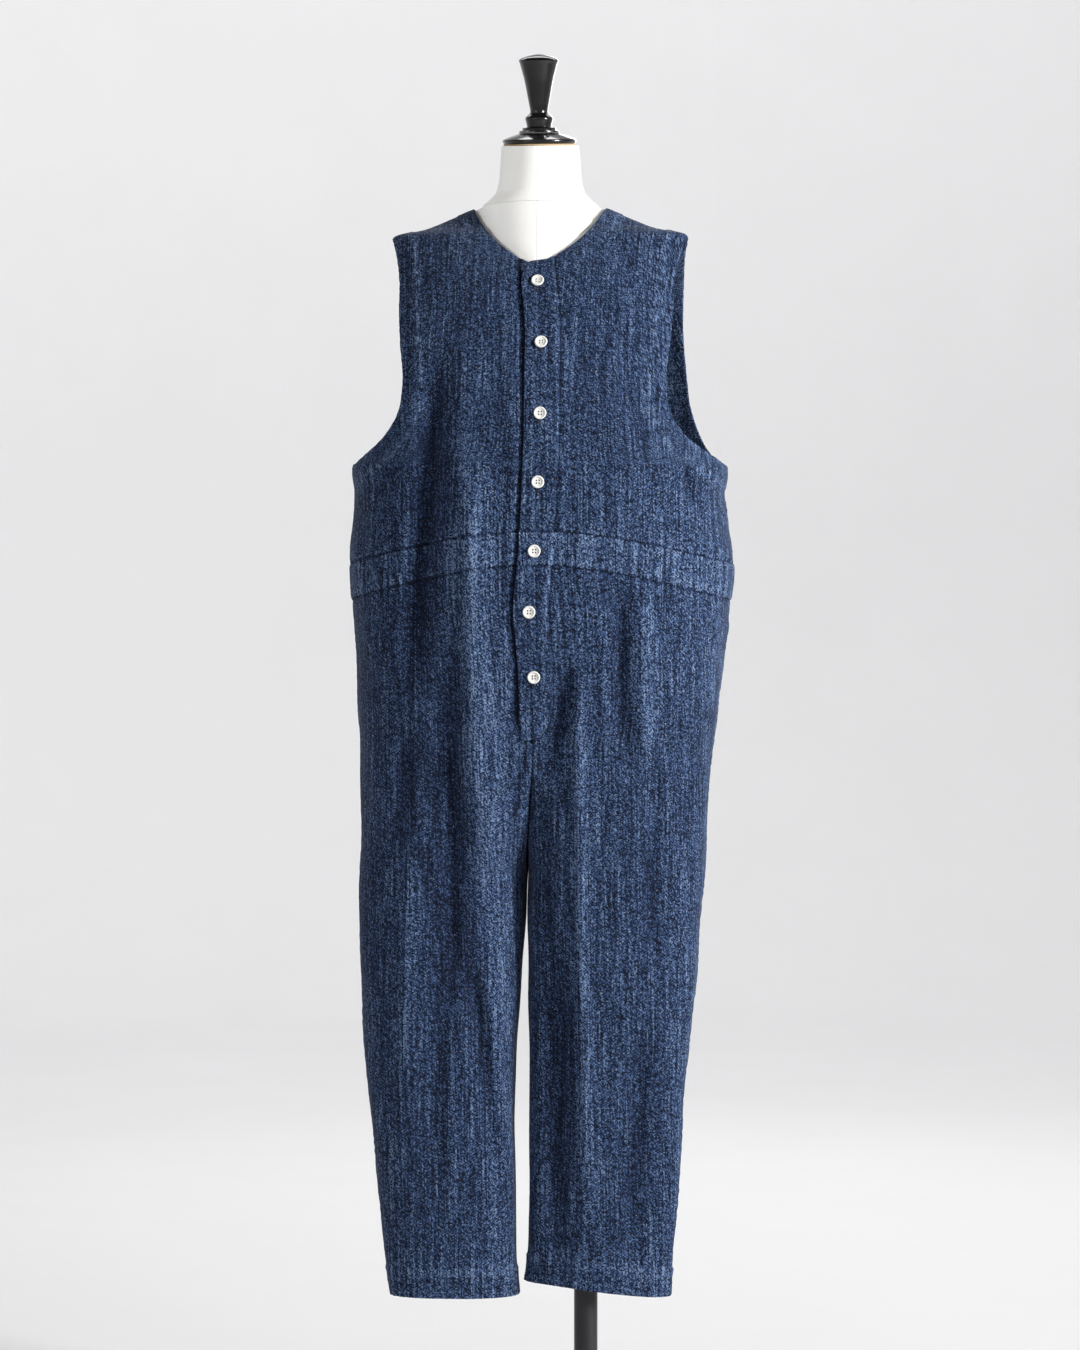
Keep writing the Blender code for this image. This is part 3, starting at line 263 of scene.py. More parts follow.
# Dress form
FORM_CLEARANCE = 0.0026
FORM_DEPTH_CLEARANCE = 0.0045
FORM_SIDE_CLEARANCE = 0.006
ARM_PLATE = 0.150
FormRing = namedtuple("FormRing", "z outer front back")
FORM = table(FormRing, [
    (0.830, 0.150, -0.075, 0.095), (0.836, 0.158, -0.081, 0.101), (0.860, 0.170, -0.092, 0.109),
    (0.900, 0.176, -0.100, 0.114), (0.960, 0.167, -0.098, 0.108), (1.020, 0.143, -0.092, 0.088),
    (1.080, 0.123, -0.088, 0.072), (1.140, 0.128, -0.099, 0.078), (1.200, 0.141, -0.117, 0.092),
    (1.260, 0.154, -0.1245, 0.101), (1.310, 0.166, -0.1175, 0.1045), (1.350, 0.174, -0.1035, 0.0985),
    (1.3974, 0.1840, -0.0810, 0.0850),
])
Neck = namedtuple("Neck", "z half_width front back")
NECK = table(Neck, [
    (1.400, 0.035, -0.070, 0.058), (1.4127, 0.040, -0.0715, 0.055), (1.420, 0.045, -0.0700, 0.053),
    (1.430, 0.056, -0.0683, 0.051), (1.440, 0.0635, -0.0668, 0.049),
    (1.460, 0.0665, -0.0650, 0.0460), (1.476, 0.068, -0.0640, 0.0440),
    (1.489, 0.0700, -0.0630, 0.0435), (1.493, 0.0695, -0.0627, 0.0435),
    (1.4976, 0.0640, -0.0615, 0.0432), (1.509, 0.0535, -0.0600, 0.0430),
    (1.525, 0.0495, -0.0595, 0.0425), (1.5448, 0.048, -0.0600, 0.0410),
    (1.5650, 0.0465, -0.0615, 0.0385),
])
FORM_TOP = 1.4915
NECK_TOP = 1.5650
NECK_TILT = math.radians(8)
PART_GAP = 0.0003                   # air between two pieces that touch on the real object
FORM_HEIGHTS = [(0.830, 0.842, 5), (0.850, 1.400, 56), (1.4035, FORM_TOP, 34)]
NECK_HEIGHTS = [(FORM_TOP + PART_GAP, 1.512, 16), (1.515, NECK_TOP, 18)]

# Turned pieces: height and radius, the outer side from the bottom up
Turn = namedtuple("Turn", "height radius")
CAP = table(Turn, [
    (0.0000, 0.0395), (0.0013, 0.0412), (0.0030, 0.0434), (0.0046, 0.0441), (0.0060, 0.0440),
    (0.0072, 0.0434), (0.0090, 0.0392), (0.0110, 0.0335), (0.0127, 0.0285), (0.0137, 0.0248),
    (0.0150, 0.0242),
])
CAP_EDGE = table(Turn, [
    (-0.0003, 0.0400), (-0.0003, 0.0424), (0.0007, 0.0432), (0.0017, 0.0424), (0.0017, 0.0400),
])
FINIAL = table(Turn, [
    (0.0153, 0.0236), (0.0160, 0.0242), (0.0169, 0.0241), (0.0174, 0.0232), (0.0180, 0.0200),
    (0.0191, 0.0200), (0.0202, 0.0202), (0.0209, 0.0197), (0.0215, 0.0152), (0.0226, 0.0146),
    (0.0251, 0.0151), (0.0280, 0.0158), (0.0305, 0.0165), (0.0318, 0.0167), (0.0332, 0.0162),
    (0.0345, 0.0150), (0.0360, 0.0131), (0.0378, 0.0112), (0.0395, 0.0105), (0.0430, 0.0108),
    (0.0500, 0.0121), (0.0622, 0.0144), (0.0720, 0.0162), (0.0800, 0.0179), (0.0890, 0.0203),
    (0.0957, 0.0222), (0.0975, 0.0226), (0.0988, 0.0234), (0.1002, 0.0239), (0.1018, 0.0229),
    (0.1037, 0.0196), (0.1052, 0.0152), (0.1064, 0.0106), (0.1074, 0.0056), (0.1080, 0.0012),
])

# Stand
POLE_RADIUS = 0.0141
FLANGE_RADIUS = 0.045
FLANGE_THICKNESS = 0.008
SLEEVE_RADIUS = 0.020
SLEEVE_LENGTH = 0.040
BASE_RADIUS = 0.200
BASE_THICKNESS = 0.010
BOSS_RADIUS = 0.030
BOSS_HEIGHT = 0.028
STEP = 1e-6                         # height of a flat step in a turned profile

# Angles over which a kind of surface keeps its sharp edges
CLOTH_ANGLE = math.radians(60)
BODY_ANGLE = math.radians(40)
TURNED_ANGLE = math.radians(35)

# Camera: level, at the height of the photograph's middle
CAMERA_HEIGHT = 0.93
CAMERA_DISTANCE = 4.5
CAMERA_AZIMUTH = math.radians(4)


def smooth(at, knots, values):
    """Monotone cubic through the knots, so that nothing bulges between two rows."""
    knots = np.asarray(knots, float)
    values = np.asarray(values, float)
    at = np.clip(at, knots[0], knots[-1])
    step = np.diff(knots)
    slope = np.diff(values) / step
    product = slope[:-1] * slope[1:]
    total = np.where(product > 0, slope[:-1] + slope[1:], 1.0)
    middle = np.where(product > 0, 2 * product / total, 0.0)
    slopes = np.concatenate(([slope[0]], middle, [slope[-1]]))
    i = np.clip(np.searchsorted(knots, at, side="right") - 1, 0, len(step) - 1)
    t = (at - knots[i]) / step[i]
    start = (1 + 2 * t) * (1 - t) ** 2 * values[i] + t * (1 - t) ** 2 * step[i] * slopes[i]
    end = t * t * (3 - 2 * t) * values[i + 1] - t * t * (1 - t) * step[i] * slopes[i + 1]
    return start + end


def column(table, name, z):
    return smooth(z, [row.z for row in table], [getattr(row, name) for row in table])


def by_side(side, name, z):
    return np.where(side < 0, column(SIDES[-1], name, z), column(SIDES[1], name, z))


def ease(t):
    t = np.clip(t, 0.0, 1.0)
    return t * t * (3 - 2 * t)


class HalfSection:
    """Half of the garment's outline at height z, from the centre seam, or a leg's inseam,
    out to the side seam: two quarters of a superellipse that meet at the ridge."""
    SAMPLES = np.linspace(0.0, 2.0, 81)

    def __init__(self, side, is_front, z):
        self.side = side
        centre_x = column(CENTRE, "x", z)
        share = column(CENTRE, "depth", z)
        face = np.where(is_front, by_side(side, "front", z), by_side(side, "back", z))
        both = (np.where(is_front, column(SIDES[-1], "front", z), column(SIDES[-1], "back", z))
                + np.where(is_front, column(SIDES[1], "front", z), column(SIDES[1], "back", z))) / 2
        self.side_y = column(SIDE_SEAM, "y", z)
        self.depth = face - self.side_y
        share = np.clip(share * (both - self.side_y) / self.depth, 0.0, 1.0)
        radius = np.maximum(1 - share ** ROUNDNESS, 1e-6) ** (1 / ROUNDNESS)
        self.start = np.arccos(np.clip(radius ** (ROUNDNESS / 2), 1e-4, 1.0))
        self.ridge_x = centre_x + side * by_side(side, "ridge", z)
        self.inward = by_side(side, "ridge", z) - by_side(side, "inner", z)
        self.outward = side * (side * by_side(side, "outer", z) - self.ridge_x)

    def point(self, g):
        shape = (-1,) + (1,) * (np.ndim(g) - 1)
        start, ridge_x, inward, outward, side_y, depth, side = (
            value.reshape(shape) for value in
            (self.start, self.ridge_x, self.inward, self.outward, self.side_y, self.depth, self.side))
        angle = start + np.clip(g, 0.0, 1.0) * (math.pi / 2 - start)
        turn = np.clip(g - 1, 0.0, 1.0) * math.pi / 2
        power = 2 / ROUNDNESS
        back_in = (np.maximum(np.cos(angle), 0.0) / np.cos(start)) ** power
        x = ridge_x - side * inward * back_in + side * outward * np.sin(turn) ** power
        level = np.where(g < 1, np.sin(angle) ** power, np.maximum(np.cos(turn), 0.0) ** power)
        return x, side_y + depth * level

    def sampled(self):
        g = np.broadcast_to(self.SAMPLES, (len(self.side), len(self.SAMPLES)))
        x, y = self.point(g)
        steps = np.hypot(np.diff(x, axis=1), np.diff(y, axis=1))
        lengths = np.concatenate((np.zeros((len(steps), 1)), np.cumsum(steps, axis=1)), axis=1)
        return x, lengths

    def length(self):
        return self.sampled()[1][:, -1]

    def at_share(self, share):
        lengths = self.sampled()[1]
        return self.look_up(lengths / lengths[:, -1:], share, self.SAMPLES)

    def share_at_x(self, x):
        xs, lengths = self.sampled()
        reach = self.side[:, None] * (xs - xs[:, :1])
        target = np.clip(self.side * (x - xs[:, 0]), 0.0, reach[:, -1])
        return self.look_up(reach, target, lengths / lengths[:, -1:])

    @staticmethod
    def look_up(rising, target, result):
        i = np.clip((rising <= target[:, None]).sum(axis=1) - 1, 0, rising.shape[1] - 2)
        rows = np.arange(len(target))
        result = np.broadcast_to(result, rising.shape)
        span = np.maximum(rising[rows, i + 1] - rising[rows, i], 1e-9)
        t = np.clip((target - rising[rows, i]) / span, 0.0, 1.0)
        return result[rows, i] + t * (result[rows, i + 1] - result[rows, i])


def centre_share(tau):
    """tau is 0 at the centre front or inseam, 1 at the side, 2 at the back."""
    return np.where(tau <= 1, tau, 2 - tau)


def section_length(side, tau, z):
    return HalfSection(side, tau <= 1, z).length()


def fold_depth(side, tau, x, z, length):
    share = centre_share(tau)
    total = np.zeros_like(z)
    for fold in FOLDS + CREASES:
        rise = (z - fold.z_low) / (fold.z_high - fold.z_low)
        line = fold.x_low + rise * (fold.x_high - fold.x_low)
        bell = np.exp(-((x - line) / fold.half_width) ** 2)
        reach = ease(rise / FOLD_ENDS) * ease((1 - rise) / FOLD_ENDS)
        here = (side == fold.side) & ((tau <= 1) == (fold.face == "front"))
        total += np.where(here, FOLD_GAIN * fold.height * bell * reach, 0.0)
    return total * ease(share * length / FOLD_MARGIN) * ease((1 - share) * length / FOLD_MARGIN)


def folded(side, tau, z):
    """A place on the smooth outline, and how far the folds stand out there."""
    outline = HalfSection(side, tau <= 1, z)
    x, y = outline.point(outline.at_share(centre_share(tau)))
    return x, y, fold_depth(side, tau, x, z, outline.length())


def fold_painted_shading(side, tau, z):
    """Painted light on the folds that stand out, and painted shade in their troughs."""
    return np.clip(FOLD_PAINTED_SHADE * folded(side, tau, z)[2], -FOLD_PAINTED_SHADE_LIMIT, FOLD_PAINTED_SHADE_LIMIT)


def cloth_surface(side, tau, z):
    x, y, out = folded(side, tau, z)
    y = np.where(tau <= 1, y - out, y + out)
    for wave in WAVES:
        here = (side == wave.side) * np.exp(-((z - wave.z) / wave.half_height) ** 2)
        x = x + side * wave.out * here * centre_share(tau) ** WAVE_POWER
    return np.stack([FORM_X + x, y, z], axis=-1)


def row_height(side, tau, w):
    """Height of the row of cloth that crosses the centre front at w."""
    swing = np.sin(centre_share(tau) * math.pi / 2) ** 2
    level = np.where(tau <= 1, swing, BACK_DIP + (1 - BACK_DIP) * swing)
    lift = np.where(side < 0, HEM_LIFT[-1], HEM_LIFT[1])
    fade = 1 - ease((w - HEM) / HEM_LIFT_FADE)
    return w - column(DIP, "drop", w) * level + lift * (1 - swing) * fade


def along_centre(s, w):
    """A place s metres from the centre line, + to the wearer's left, as side and tau."""
    side = np.where(s < 0, -1.0, 1.0)
    return side, np.abs(s) / section_length(side, np.zeros_like(w), w)


def edge_point(edge, t):
    """Height and distance from the centre plane at the share t of an edge's length."""
    z = np.array([row.z for row in edge])
    x = np.array([row.x for row in edge])
    lengths = np.concatenate(([0.0], np.cumsum(np.hypot(np.diff(z), np.diff(x)))))
    return smooth(t * lengths[-1], lengths, z), smooth(t * lengths[-1], lengths, x)


def edge_tau(side, is_front, z, x):
    share = HalfSection(side, np.full(z.shape, is_front), z).share_at_x(side * x)
    return share if is_front else 2 - share


def neckline_height(x):
    s = np.abs(x) / NECK_HALF
    straight, curved, power = 0.56, 0.44, 3.5
    return V_POINT + (NECK_POINT - V_POINT) * (straight * s + curved * s ** power)


def nape_height(x):
    return NAPE + (NECK_POINT - NAPE) * (np.abs(x) / NECK_HALF) ** 3


def fly_edge(w):
    t = np.clip((w - FLY_END) / FLY_CURVE, 0.0, 1.0)
    return BAND_RIGHT * np.sqrt(1 - (1 - t) ** 2)


def lap(s, end):
    """Lift of a lapped band: full over the layer below, then down to the next panel."""
    return LAP_LIFT * (1 - ease((s - (end - BAND_EASE)) / BAND_EASE))


# Grids


def crowded(count, amount=0.5):
    """Shares from 0 to 1 that lie closer together at both ends."""
    t = np.linspace(0.0, 1.0, count + 1)
    return t - amount * np.sin(2 * math.pi * t) / (2 * math.pi)


def running_length(points, axis):
    steps = np.linalg.norm(np.diff(points, axis=axis), axis=2)
    zero = np.zeros_like(np.take(steps, [0], axis=axis))
    return np.concatenate((zero, np.cumsum(steps, axis=axis)), axis=axis)


def grid_normals(points, facing):
    normal = np.cross(np.gradient(points, axis=1), np.gradient(points, axis=0)) * facing
    return normal / np.maximum(np.linalg.norm(normal, axis=2, keepdims=True), 1e-12)


def ripples(points, seed, scale, count=14):
    """Uneven soft waves over the cloth, longer up and down than across."""
    draw = np.random.default_rng(seed)
    total = np.zeros(points.shape[:-1])
    for _ in range(count):
        length = scale * draw.uniform(0.6, 1.8)
        direction = draw.normal(size=3) * (1.0, 1.0, 0.35)
        direction /= np.linalg.norm(direction)
        total += np.sin(points @ direction * 2 * math.pi / length + draw.uniform(0, 2 * math.pi))
    return total / math.sqrt(count)


PUCKER_DRIFTS = ((0.047, 0.55), (0.029, 0.35), (0.120, 0.8))
PUCKER_SWELL = 0.085


def pucker_wave(along, pitch, seed):
    """Waves along an edge whose length and height both drift, so that no two are alike."""
    draw = np.random.default_rng(seed)
    turns = along / pitch
    for length, size in PUCKER_DRIFTS:
        turns = turns + size * np.sin(2 * math.pi * along / length + draw.uniform(0, 2 * math.pi))
    swell = 2 * math.pi * along / PUCKER_SWELL + draw.uniform(0, 2 * math.pi)
    size = 0.75 + 0.25 * np.sin(swell)
    return np.sin(2 * math.pi * turns) * size


Border = namedtuple("Border", "line index look start end")


def column_border(index, look, start=-math.inf, end=math.inf):
    """A border along one column, from one row's value to another's."""
    return Border("column", index, look, start, end)


def row_border(index, look):
    return Border("row", index, look, -math.inf, math.inf)


def border_places(border, points, rows):
    if border.line == "row":
        return points[border.index]
    keep = (rows >= border.start - 1e-9) & (rows <= border.end + 1e-9)
    return points[keep, border.index]


def nearest(points, line, spacing=0.0007):
    """Each point's distance from the line, and how far along the line its nearest place is."""
    lengths = np.concatenate(([0.0], np.cumsum(np.linalg.norm(np.diff(line, axis=0), axis=1))))
    at = np.linspace(0.0, lengths[-1], max(2, int(lengths[-1] / spacing)))
    places = np.stack([np.interp(at, lengths, line[:, k]) for k in range(3)], axis=1)
    tree = KDTree(len(places))
    for number, place in enumerate(places):
        tree.insert(place, number)
    tree.balance()
    found = [tree.find(point) for point in points.reshape(-1, 3)]
    away = np.array([item[2] for item in found]).reshape(points.shape[:2])
    along = at[[item[1] for item in found]].reshape(points.shape[:2])
    return away, along


def from_centre(points):
    """Each point's distance to the wearer's left of the centre line, its y and its height."""
    x, y, z = points[..., 0] - FORM_X, points[..., 1], points[..., 2]
    return x - column(CENTRE, "x", z), y, z


def calm(points):
    """1 where the cloth hangs free, 0 at the lapped band and where it lies on the shoulders."""
    x, y, z = from_centre(points)
    middle, half = (BAND_LEFT + BAND_RIGHT) / 2, (BAND_RIGHT - BAND_LEFT) / 2
    beside = np.abs(x - middle) - half
    below_fly = ease((z - FLY_END + FLY_CALM) / FLY_CALM)
    held = (1 - ease(beside / CALM_BESIDE_BAND)) * below_fly * (y < 0)
    return (1 - held) * (1 - ease((z - SHOULDER_CALM) / SHOULDER_RISE))


def beside_lap(points, width):
    """1 on the line just outside the lapped band's free edge, falling away on both sides."""
    x, y, z = from_centre(points)
    away = x - BAND_LEFT + LAP_LINE * width
    return np.exp(-(away / width) ** 2) * (y < 0) * ease((z - FLY_END) / LAP_LINE_START)


class Panel:
    """A piece of cloth as a grid: rows from its low edge up, columns from its inner edge
    out. borders names its edges. A parted grid is open between two columns in its last
    rows, where the neck is."""

    def __init__(self, name, place, columns, rows, facing, borders, wall=WALL, parted=None):
        self.name, self.facing, self.wall, self.parted = name, facing, wall, parted
        u, v = np.meshgrid(columns, rows)
        side, tau, z, lift = place(u.ravel(), v.ravel())
        base = cloth_surface(side, tau, z).reshape(*u.shape, 3)
        across, up = running_length(base, 1), running_length(base, 0)
        self.flat = (float(across[:, -1].max()), float(up[-1].max()))
        cells = np.cross(base[1:, 1:] - base[:-1, :-1], base[1:, :-1] - base[:-1, 1:])
        self.area = float(np.linalg.norm(cells, axis=2).sum() / 2)
        middle = u.shape[1] // 2
        self.uv = np.stack((base[:, [middle], 0] + facing * (across - across[:, [middle]]),
                            base[:1, :, 2] + up), axis=-1)
        self.away = {}
        relief, self.wear = self.relief(base, borders, rows)
        # adds painted light on the folds' ridges and painted shade in their troughs
        self.wear = self.wear + fold_painted_shading(side, tau, z).reshape(u.shape)
        normal = grid_normals(base, facing)
        self.points = base + normal * (lift.reshape(u.shape) + relief)[..., None]
        self.normals = grid_normals(self.points, facing)

    def relief(self, base, borders, rows):
        total = RIPPLE * ripples(base, RIPPLE_SEED, RIPPLE_LENGTH) * calm(base)
        wear = np.zeros(base.shape[:2])
        if self.name.endswith("right_cloth"):
            total = total - LAP_HOLLOW * beside_lap(base, LAP_HOLLOW_WIDTH)
            # painted shadow on the line beside the lap's edge, where the band would cast it
            wear = wear - LAP_PAINTED_SHADOW * beside_lap(base, LAP_PAINTED_SHADOW_WIDTH)
        seed = sum(map(ord, self.name))
        for name, border in borders.items():
            look = border.look
            away, along = nearest(base, border_places(border, base, rows))
            self.away[name] = away
            wave = pucker_wave(along, look.pitch, seed)
            beside_stitch = np.exp(-np.abs(away - look.stitch) / look.reach)
            at_edge = np.exp(-away / look.reach)
            faded = look.fade * np.maximum(beside_stitch, INNER_FADE * at_edge)
            total = total - look.roll * np.exp(-(away / ROLL_REACH) ** 2)
            total = total + look.band * (1 - ease((away - look.stitch) / BAND_FADE))
            total = total + look.pucker * wave * np.maximum(beside_stitch, at_edge)
            wear = wear + faded * (EVEN_FADE + (1 - EVEN_FADE) * wave)
            # painted shade along a seam, darker the deeper its edge sinks
            wear = wear - look.roll * SEAM_PAINTED_SHADE * np.exp(-(away / SEAM_PAINTED_SHADE_WIDTH) ** 2)
        return total, np.clip(wear, *WEAR_AND_SHADE_LIMITS)

    def sample(self, array, row, col):
        """The array's values at fractional rows and columns."""
        rows, cols = array.shape[:2]
        i = np.clip(np.floor(row).astype(int), 0, rows - 2)
        j = np.clip(np.floor(col).astype(int), 0, cols - 2)
        p, q = (row - i)[..., None], (col - j)[..., None]
        low = array[i, j] * (1 - q) + array[i, j + 1] * q
        high = array[i + 1, j] * (1 - q) + array[i + 1, j + 1] * q
        return low * (1 - p) + high * p

    def line_by_row(self, border, offset, first=0, last=None):
        """Rows and columns of the line that keeps this far from a border, one place in each
        row that it crosses, looked for from column first towards column last."""
        last = self.points.shape[1] - 1 if last is None else last
        step = 1 if last > first else -1
        order = np.arange(first, last + step, step)
        return self.crossings(self.away[border][:, order], offset, order)

    def line_by_column(self, border, offset, first=0, last=None):
        """The same with one place in each column, looked for from row first."""
        last = self.points.shape[0] - 1 if last is None else last
        step = 1 if last > first else -1
        order = np.arange(first, last + step, step)
        col, row = self.crossings(self.away[border][order].T, offset, order)
        return row, col

    @staticmethod
    def crossings(field, offset, order):
        lines, places = [], []
        for number, line in enumerate(field):
            beyond = int(np.argmax(line >= offset))
            if line[0] < offset and beyond:
                share = (offset - line[beyond - 1]) / (line[beyond] - line[beyond - 1])
                lines.append(number)
                places.append(order[beyond - 1] + share * (order[beyond] - order[beyond - 1]))
        return np.array(lines, float), np.array(places, float)

    def along(self, row, col):
        """Places on the cloth's face and the outward normals there."""
        return self.sample(self.points, row, col), self.sample(self.normals, row, col)

    def build(self):
        return grid_mesh(self.name, self.points, self.uv, self.wear, self.facing, self.wall,
                         self.parted)


def use(item):
    bpy.ops.object.select_all(action="DESELECT")
    item.select_set(True)
    bpy.context.view_layer.objects.active = item


def new_piece(name, primitive, **settings):
    """One of Blender's mesh primitives, named, and at the origin unless settings say more."""
    bpy.ops.object.select_all(action="DESELECT")
    primitive(**{"location": (0, 0, 0), **settings})
    piece = bpy.context.object
    piece.name = name
    piece.data.name = name
    return piece


def shaped_by(piece, kind, **settings):
    """The piece with a modifier of this kind applied."""
    use(piece)
    modifier = piece.modifiers.new(kind, kind)
    for name, value in settings.items():
        setattr(modifier, name, value)
    bpy.ops.object.modifier_apply(modifier=kind)


def laid_grid(name, points):
    """A grid primitive laid out on the points, and each vertex's row and column."""
    rows, cols = points.shape[:2]
    piece = new_piece(name, bpy.ops.mesh.primitive_grid_add, x_subdivisions=cols - 1,
                      y_subdivisions=rows - 1, size=1)
    flat = np.empty(len(piece.data.vertices) * 3)
    piece.data.vertices.foreach_get("co", flat)
    flat = flat.reshape(-1, 3)
    j = np.rint((flat[:, 0] + 0.5) * (cols - 1)).astype(int)
    i = np.rint((flat[:, 1] + 0.5) * (rows - 1)).astype(int)
    piece.data.vertices.foreach_set("co", points[i, j].ravel())
    return piece, i, j


def part_after(piece, columns, last):
    """Opens a grid after its last column, and joins what lies face to face there."""
    mesh = piece.data
    bpy.context.tool_settings.mesh_select_mode = (False, False, True)
    for group in (mesh.vertices, mesh.edges):
        group.foreach_set("select", [False] * len(group))
    for face in mesh.polygons:
        face.select = len({columns[vertex] <= last for vertex in face.vertices}) == 2
    bpy.ops.object.mode_set(mode="EDIT")
    bpy.ops.mesh.delete(type="FACE")
    bpy.ops.mesh.select_mode(type="VERT")
    bpy.ops.mesh.select_all(action="SELECT")
    bpy.ops.mesh.remove_doubles(threshold=MERGE)
    bpy.ops.object.mode_set(mode="OBJECT")


def grid_mesh(name, points, uv, wear, facing, wall, parted=None):
    """A laid grid with its weave, its fading and its painted light and shade, its wall added inwards.
    """
    piece, i, j = laid_grid(name, points)
    mesh = piece.data
    corner = np.empty(len(mesh.loops), int)
    mesh.loops.foreach_get("vertex_index", corner)
    mesh.uv_layers.active.name = "cloth"
    mesh.uv_layers.active.data.foreach_set("uv", uv[i, j][corner].ravel())
    # fading, plus painted light and painted shade, as a value on each vertex
    worn_and_shaded = mesh.attributes.new("wear", "FLOAT", "POINT")
    worn_and_shaded.data.foreach_set("value", wear[i, j].astype(np.float32))
    if facing < 0:
        mesh.flip_normals()
    mesh.update()
    if parted is not None:
        part_after(piece, j, parted)
    shaped_by(piece, "SOLIDIFY", thickness=wall, offset=-1)
    bpy.ops.object.shade_smooth_by_angle(angle=CLOTH_ANGLE)
    return piece


# Garment

MERGE = 0.00004
ROW_STEP = 0.0050
FLY_FINE = 0.0012                   # the rows lie closer together round the fly's curved end
FLY_FINE_LENGTH = 0.018
AT_CENTRE = 1e-6
WAISTBAND_RISE = 0.2                # share of its width over which the right band comes up
WAISTBAND_RISE_LENGTH = 0.03        # the same beside the lap, as a length
BAND_SHARE = 0.22                   # share of the left waistband's columns that its lap takes


def side_of(signed, sign):
    """The side of a place that is counted from the centre towards the side of this sign."""
    return np.where(signed * sign < 0, -sign, sign).astype(float)


def trouser_rows():
    rows = list(np.arange(HEM, WAIST_LOW, ROW_STEP)) + [WAIST_LOW]
    near = [w for w in rows if not FLY_END - 0.001 < w < FLY_END + FLY_FINE_LENGTH]
    fine = list(np.arange(FLY_END, FLY_END + FLY_FINE_LENGTH, FLY_FINE))
    return np.array(sorted(near + fine))


def panel_across(sign, inner_s, u, w, is_front):
    side, tau = along_centre(inner_s, w)
    if not is_front:
        tau = 2 - tau
        return side, tau + (1 - tau) * u
    signed = side * tau + (sign - side * tau) * u
    return side_of(signed, sign), np.abs(signed)


def trouser_panel(sign, is_front, inner_edge):
    def place(u, w):
        side, tau = panel_across(sign, inner_edge(w), u, w, is_front)
        side = np.where(w < FLY_END, sign, side).astype(float)
        return side, tau, row_height(side, tau, w), np.zeros_like(u)
    face, hand = ("front" if is_front else "back"), ("right" if sign < 0 else "left")
    borders = {"low": row_border(0, HEM_EDGE), "high": row_border(-1, PLAIN_SEAM),
               "outer": column_border(-1, PUCKERED_SEAM),
               "inner": column_border(0, PLAIN_SEAM, end=FLY_END)}
    if is_front and sign > 0:
        borders["fly"] = column_border(0, JOINED_EDGE, start=FLY_END)
    facing = sign if is_front else -sign
    return Panel(f"trouser_{face}_{hand}_cloth", place, crowded(88), trouser_rows(), facing, borders)


def waistband_panel(name, place, columns, facing):
    borders = {"low": row_border(0, WAIST_EDGE), "high": row_border(-1, WAIST_EDGE)}
    rows = WAIST_LOW + (WAIST_TOP - WAIST_LOW) * crowded(16, 0.6)
    return Panel(name, place, columns, rows, facing, borders)


def waistband_right(u, w):
    side, tau = panel_across(-1, np.full_like(u, BAND_RIGHT - BAND_EASE), u, w, True)
    return side, tau, row_height(side, tau, w), WAISTBAND_LIFT * ease(tau / WAISTBAND_RISE)


def waistband_left(u, w):
    girth = section_length(np.ones_like(u), np.zeros_like(u), w)
    lapped = BAND_LEFT + (BAND_RIGHT - BAND_LEFT) * u / BAND_SHARE
    beyond = BAND_RIGHT + (girth - BAND_RIGHT) * (u - BAND_SHARE) / (1 - BAND_SHARE)
    s = np.where(u < BAND_SHARE, lapped, beyond)
    side, tau = along_centre(s, w)
    tau = np.where(u > 1 - 1e-9, 1.0, tau)
    beyond_lap = ease((s - BAND_RIGHT) / WAISTBAND_RISE_LENGTH)
    lift = lap(s, BAND_RIGHT) + WAISTBAND_LIFT * beyond_lap
    return side, tau, row_height(side, tau, w), lift


def waistband_behind(u, w):
    across = 2 * u - 1
    side = np.where(across < 0, -1.0, 1.0)
    tau = 2 - np.abs(across)
    return side, tau, row_height(side, tau, w), np.full_like(u, WAISTBAND_LIFT)


CORNER = 0.62                       # share of the bodice's rows below the neckline's corner
UNDERARM_SHARE = 0.15
ROW_CROWDING = 1.5
LAYER_TOP_SLOPE = 0.45              # how steeply the tops rise where they cross the centre
BAND_TOP_SLOPE = 0.5
PLACKET_TAPER = 0.0041              # the placket narrows this much over its top
PLACKET_TAPER_FROM = 0.93
PLACKET_TAPER_LENGTH = 0.07
TOP_BEND = 8                        # how late the placket's rows turn into its slanted top
FLY_TIP = -0.013                    # the fly's left edge at its end, full width from FLY_FULL up
FLY_FULL = 0.92


def share_above(v, start):
    return 1 - np.clip((1 - v) / (1 - start), 0.0, 1.0) ** ROW_CROWDING


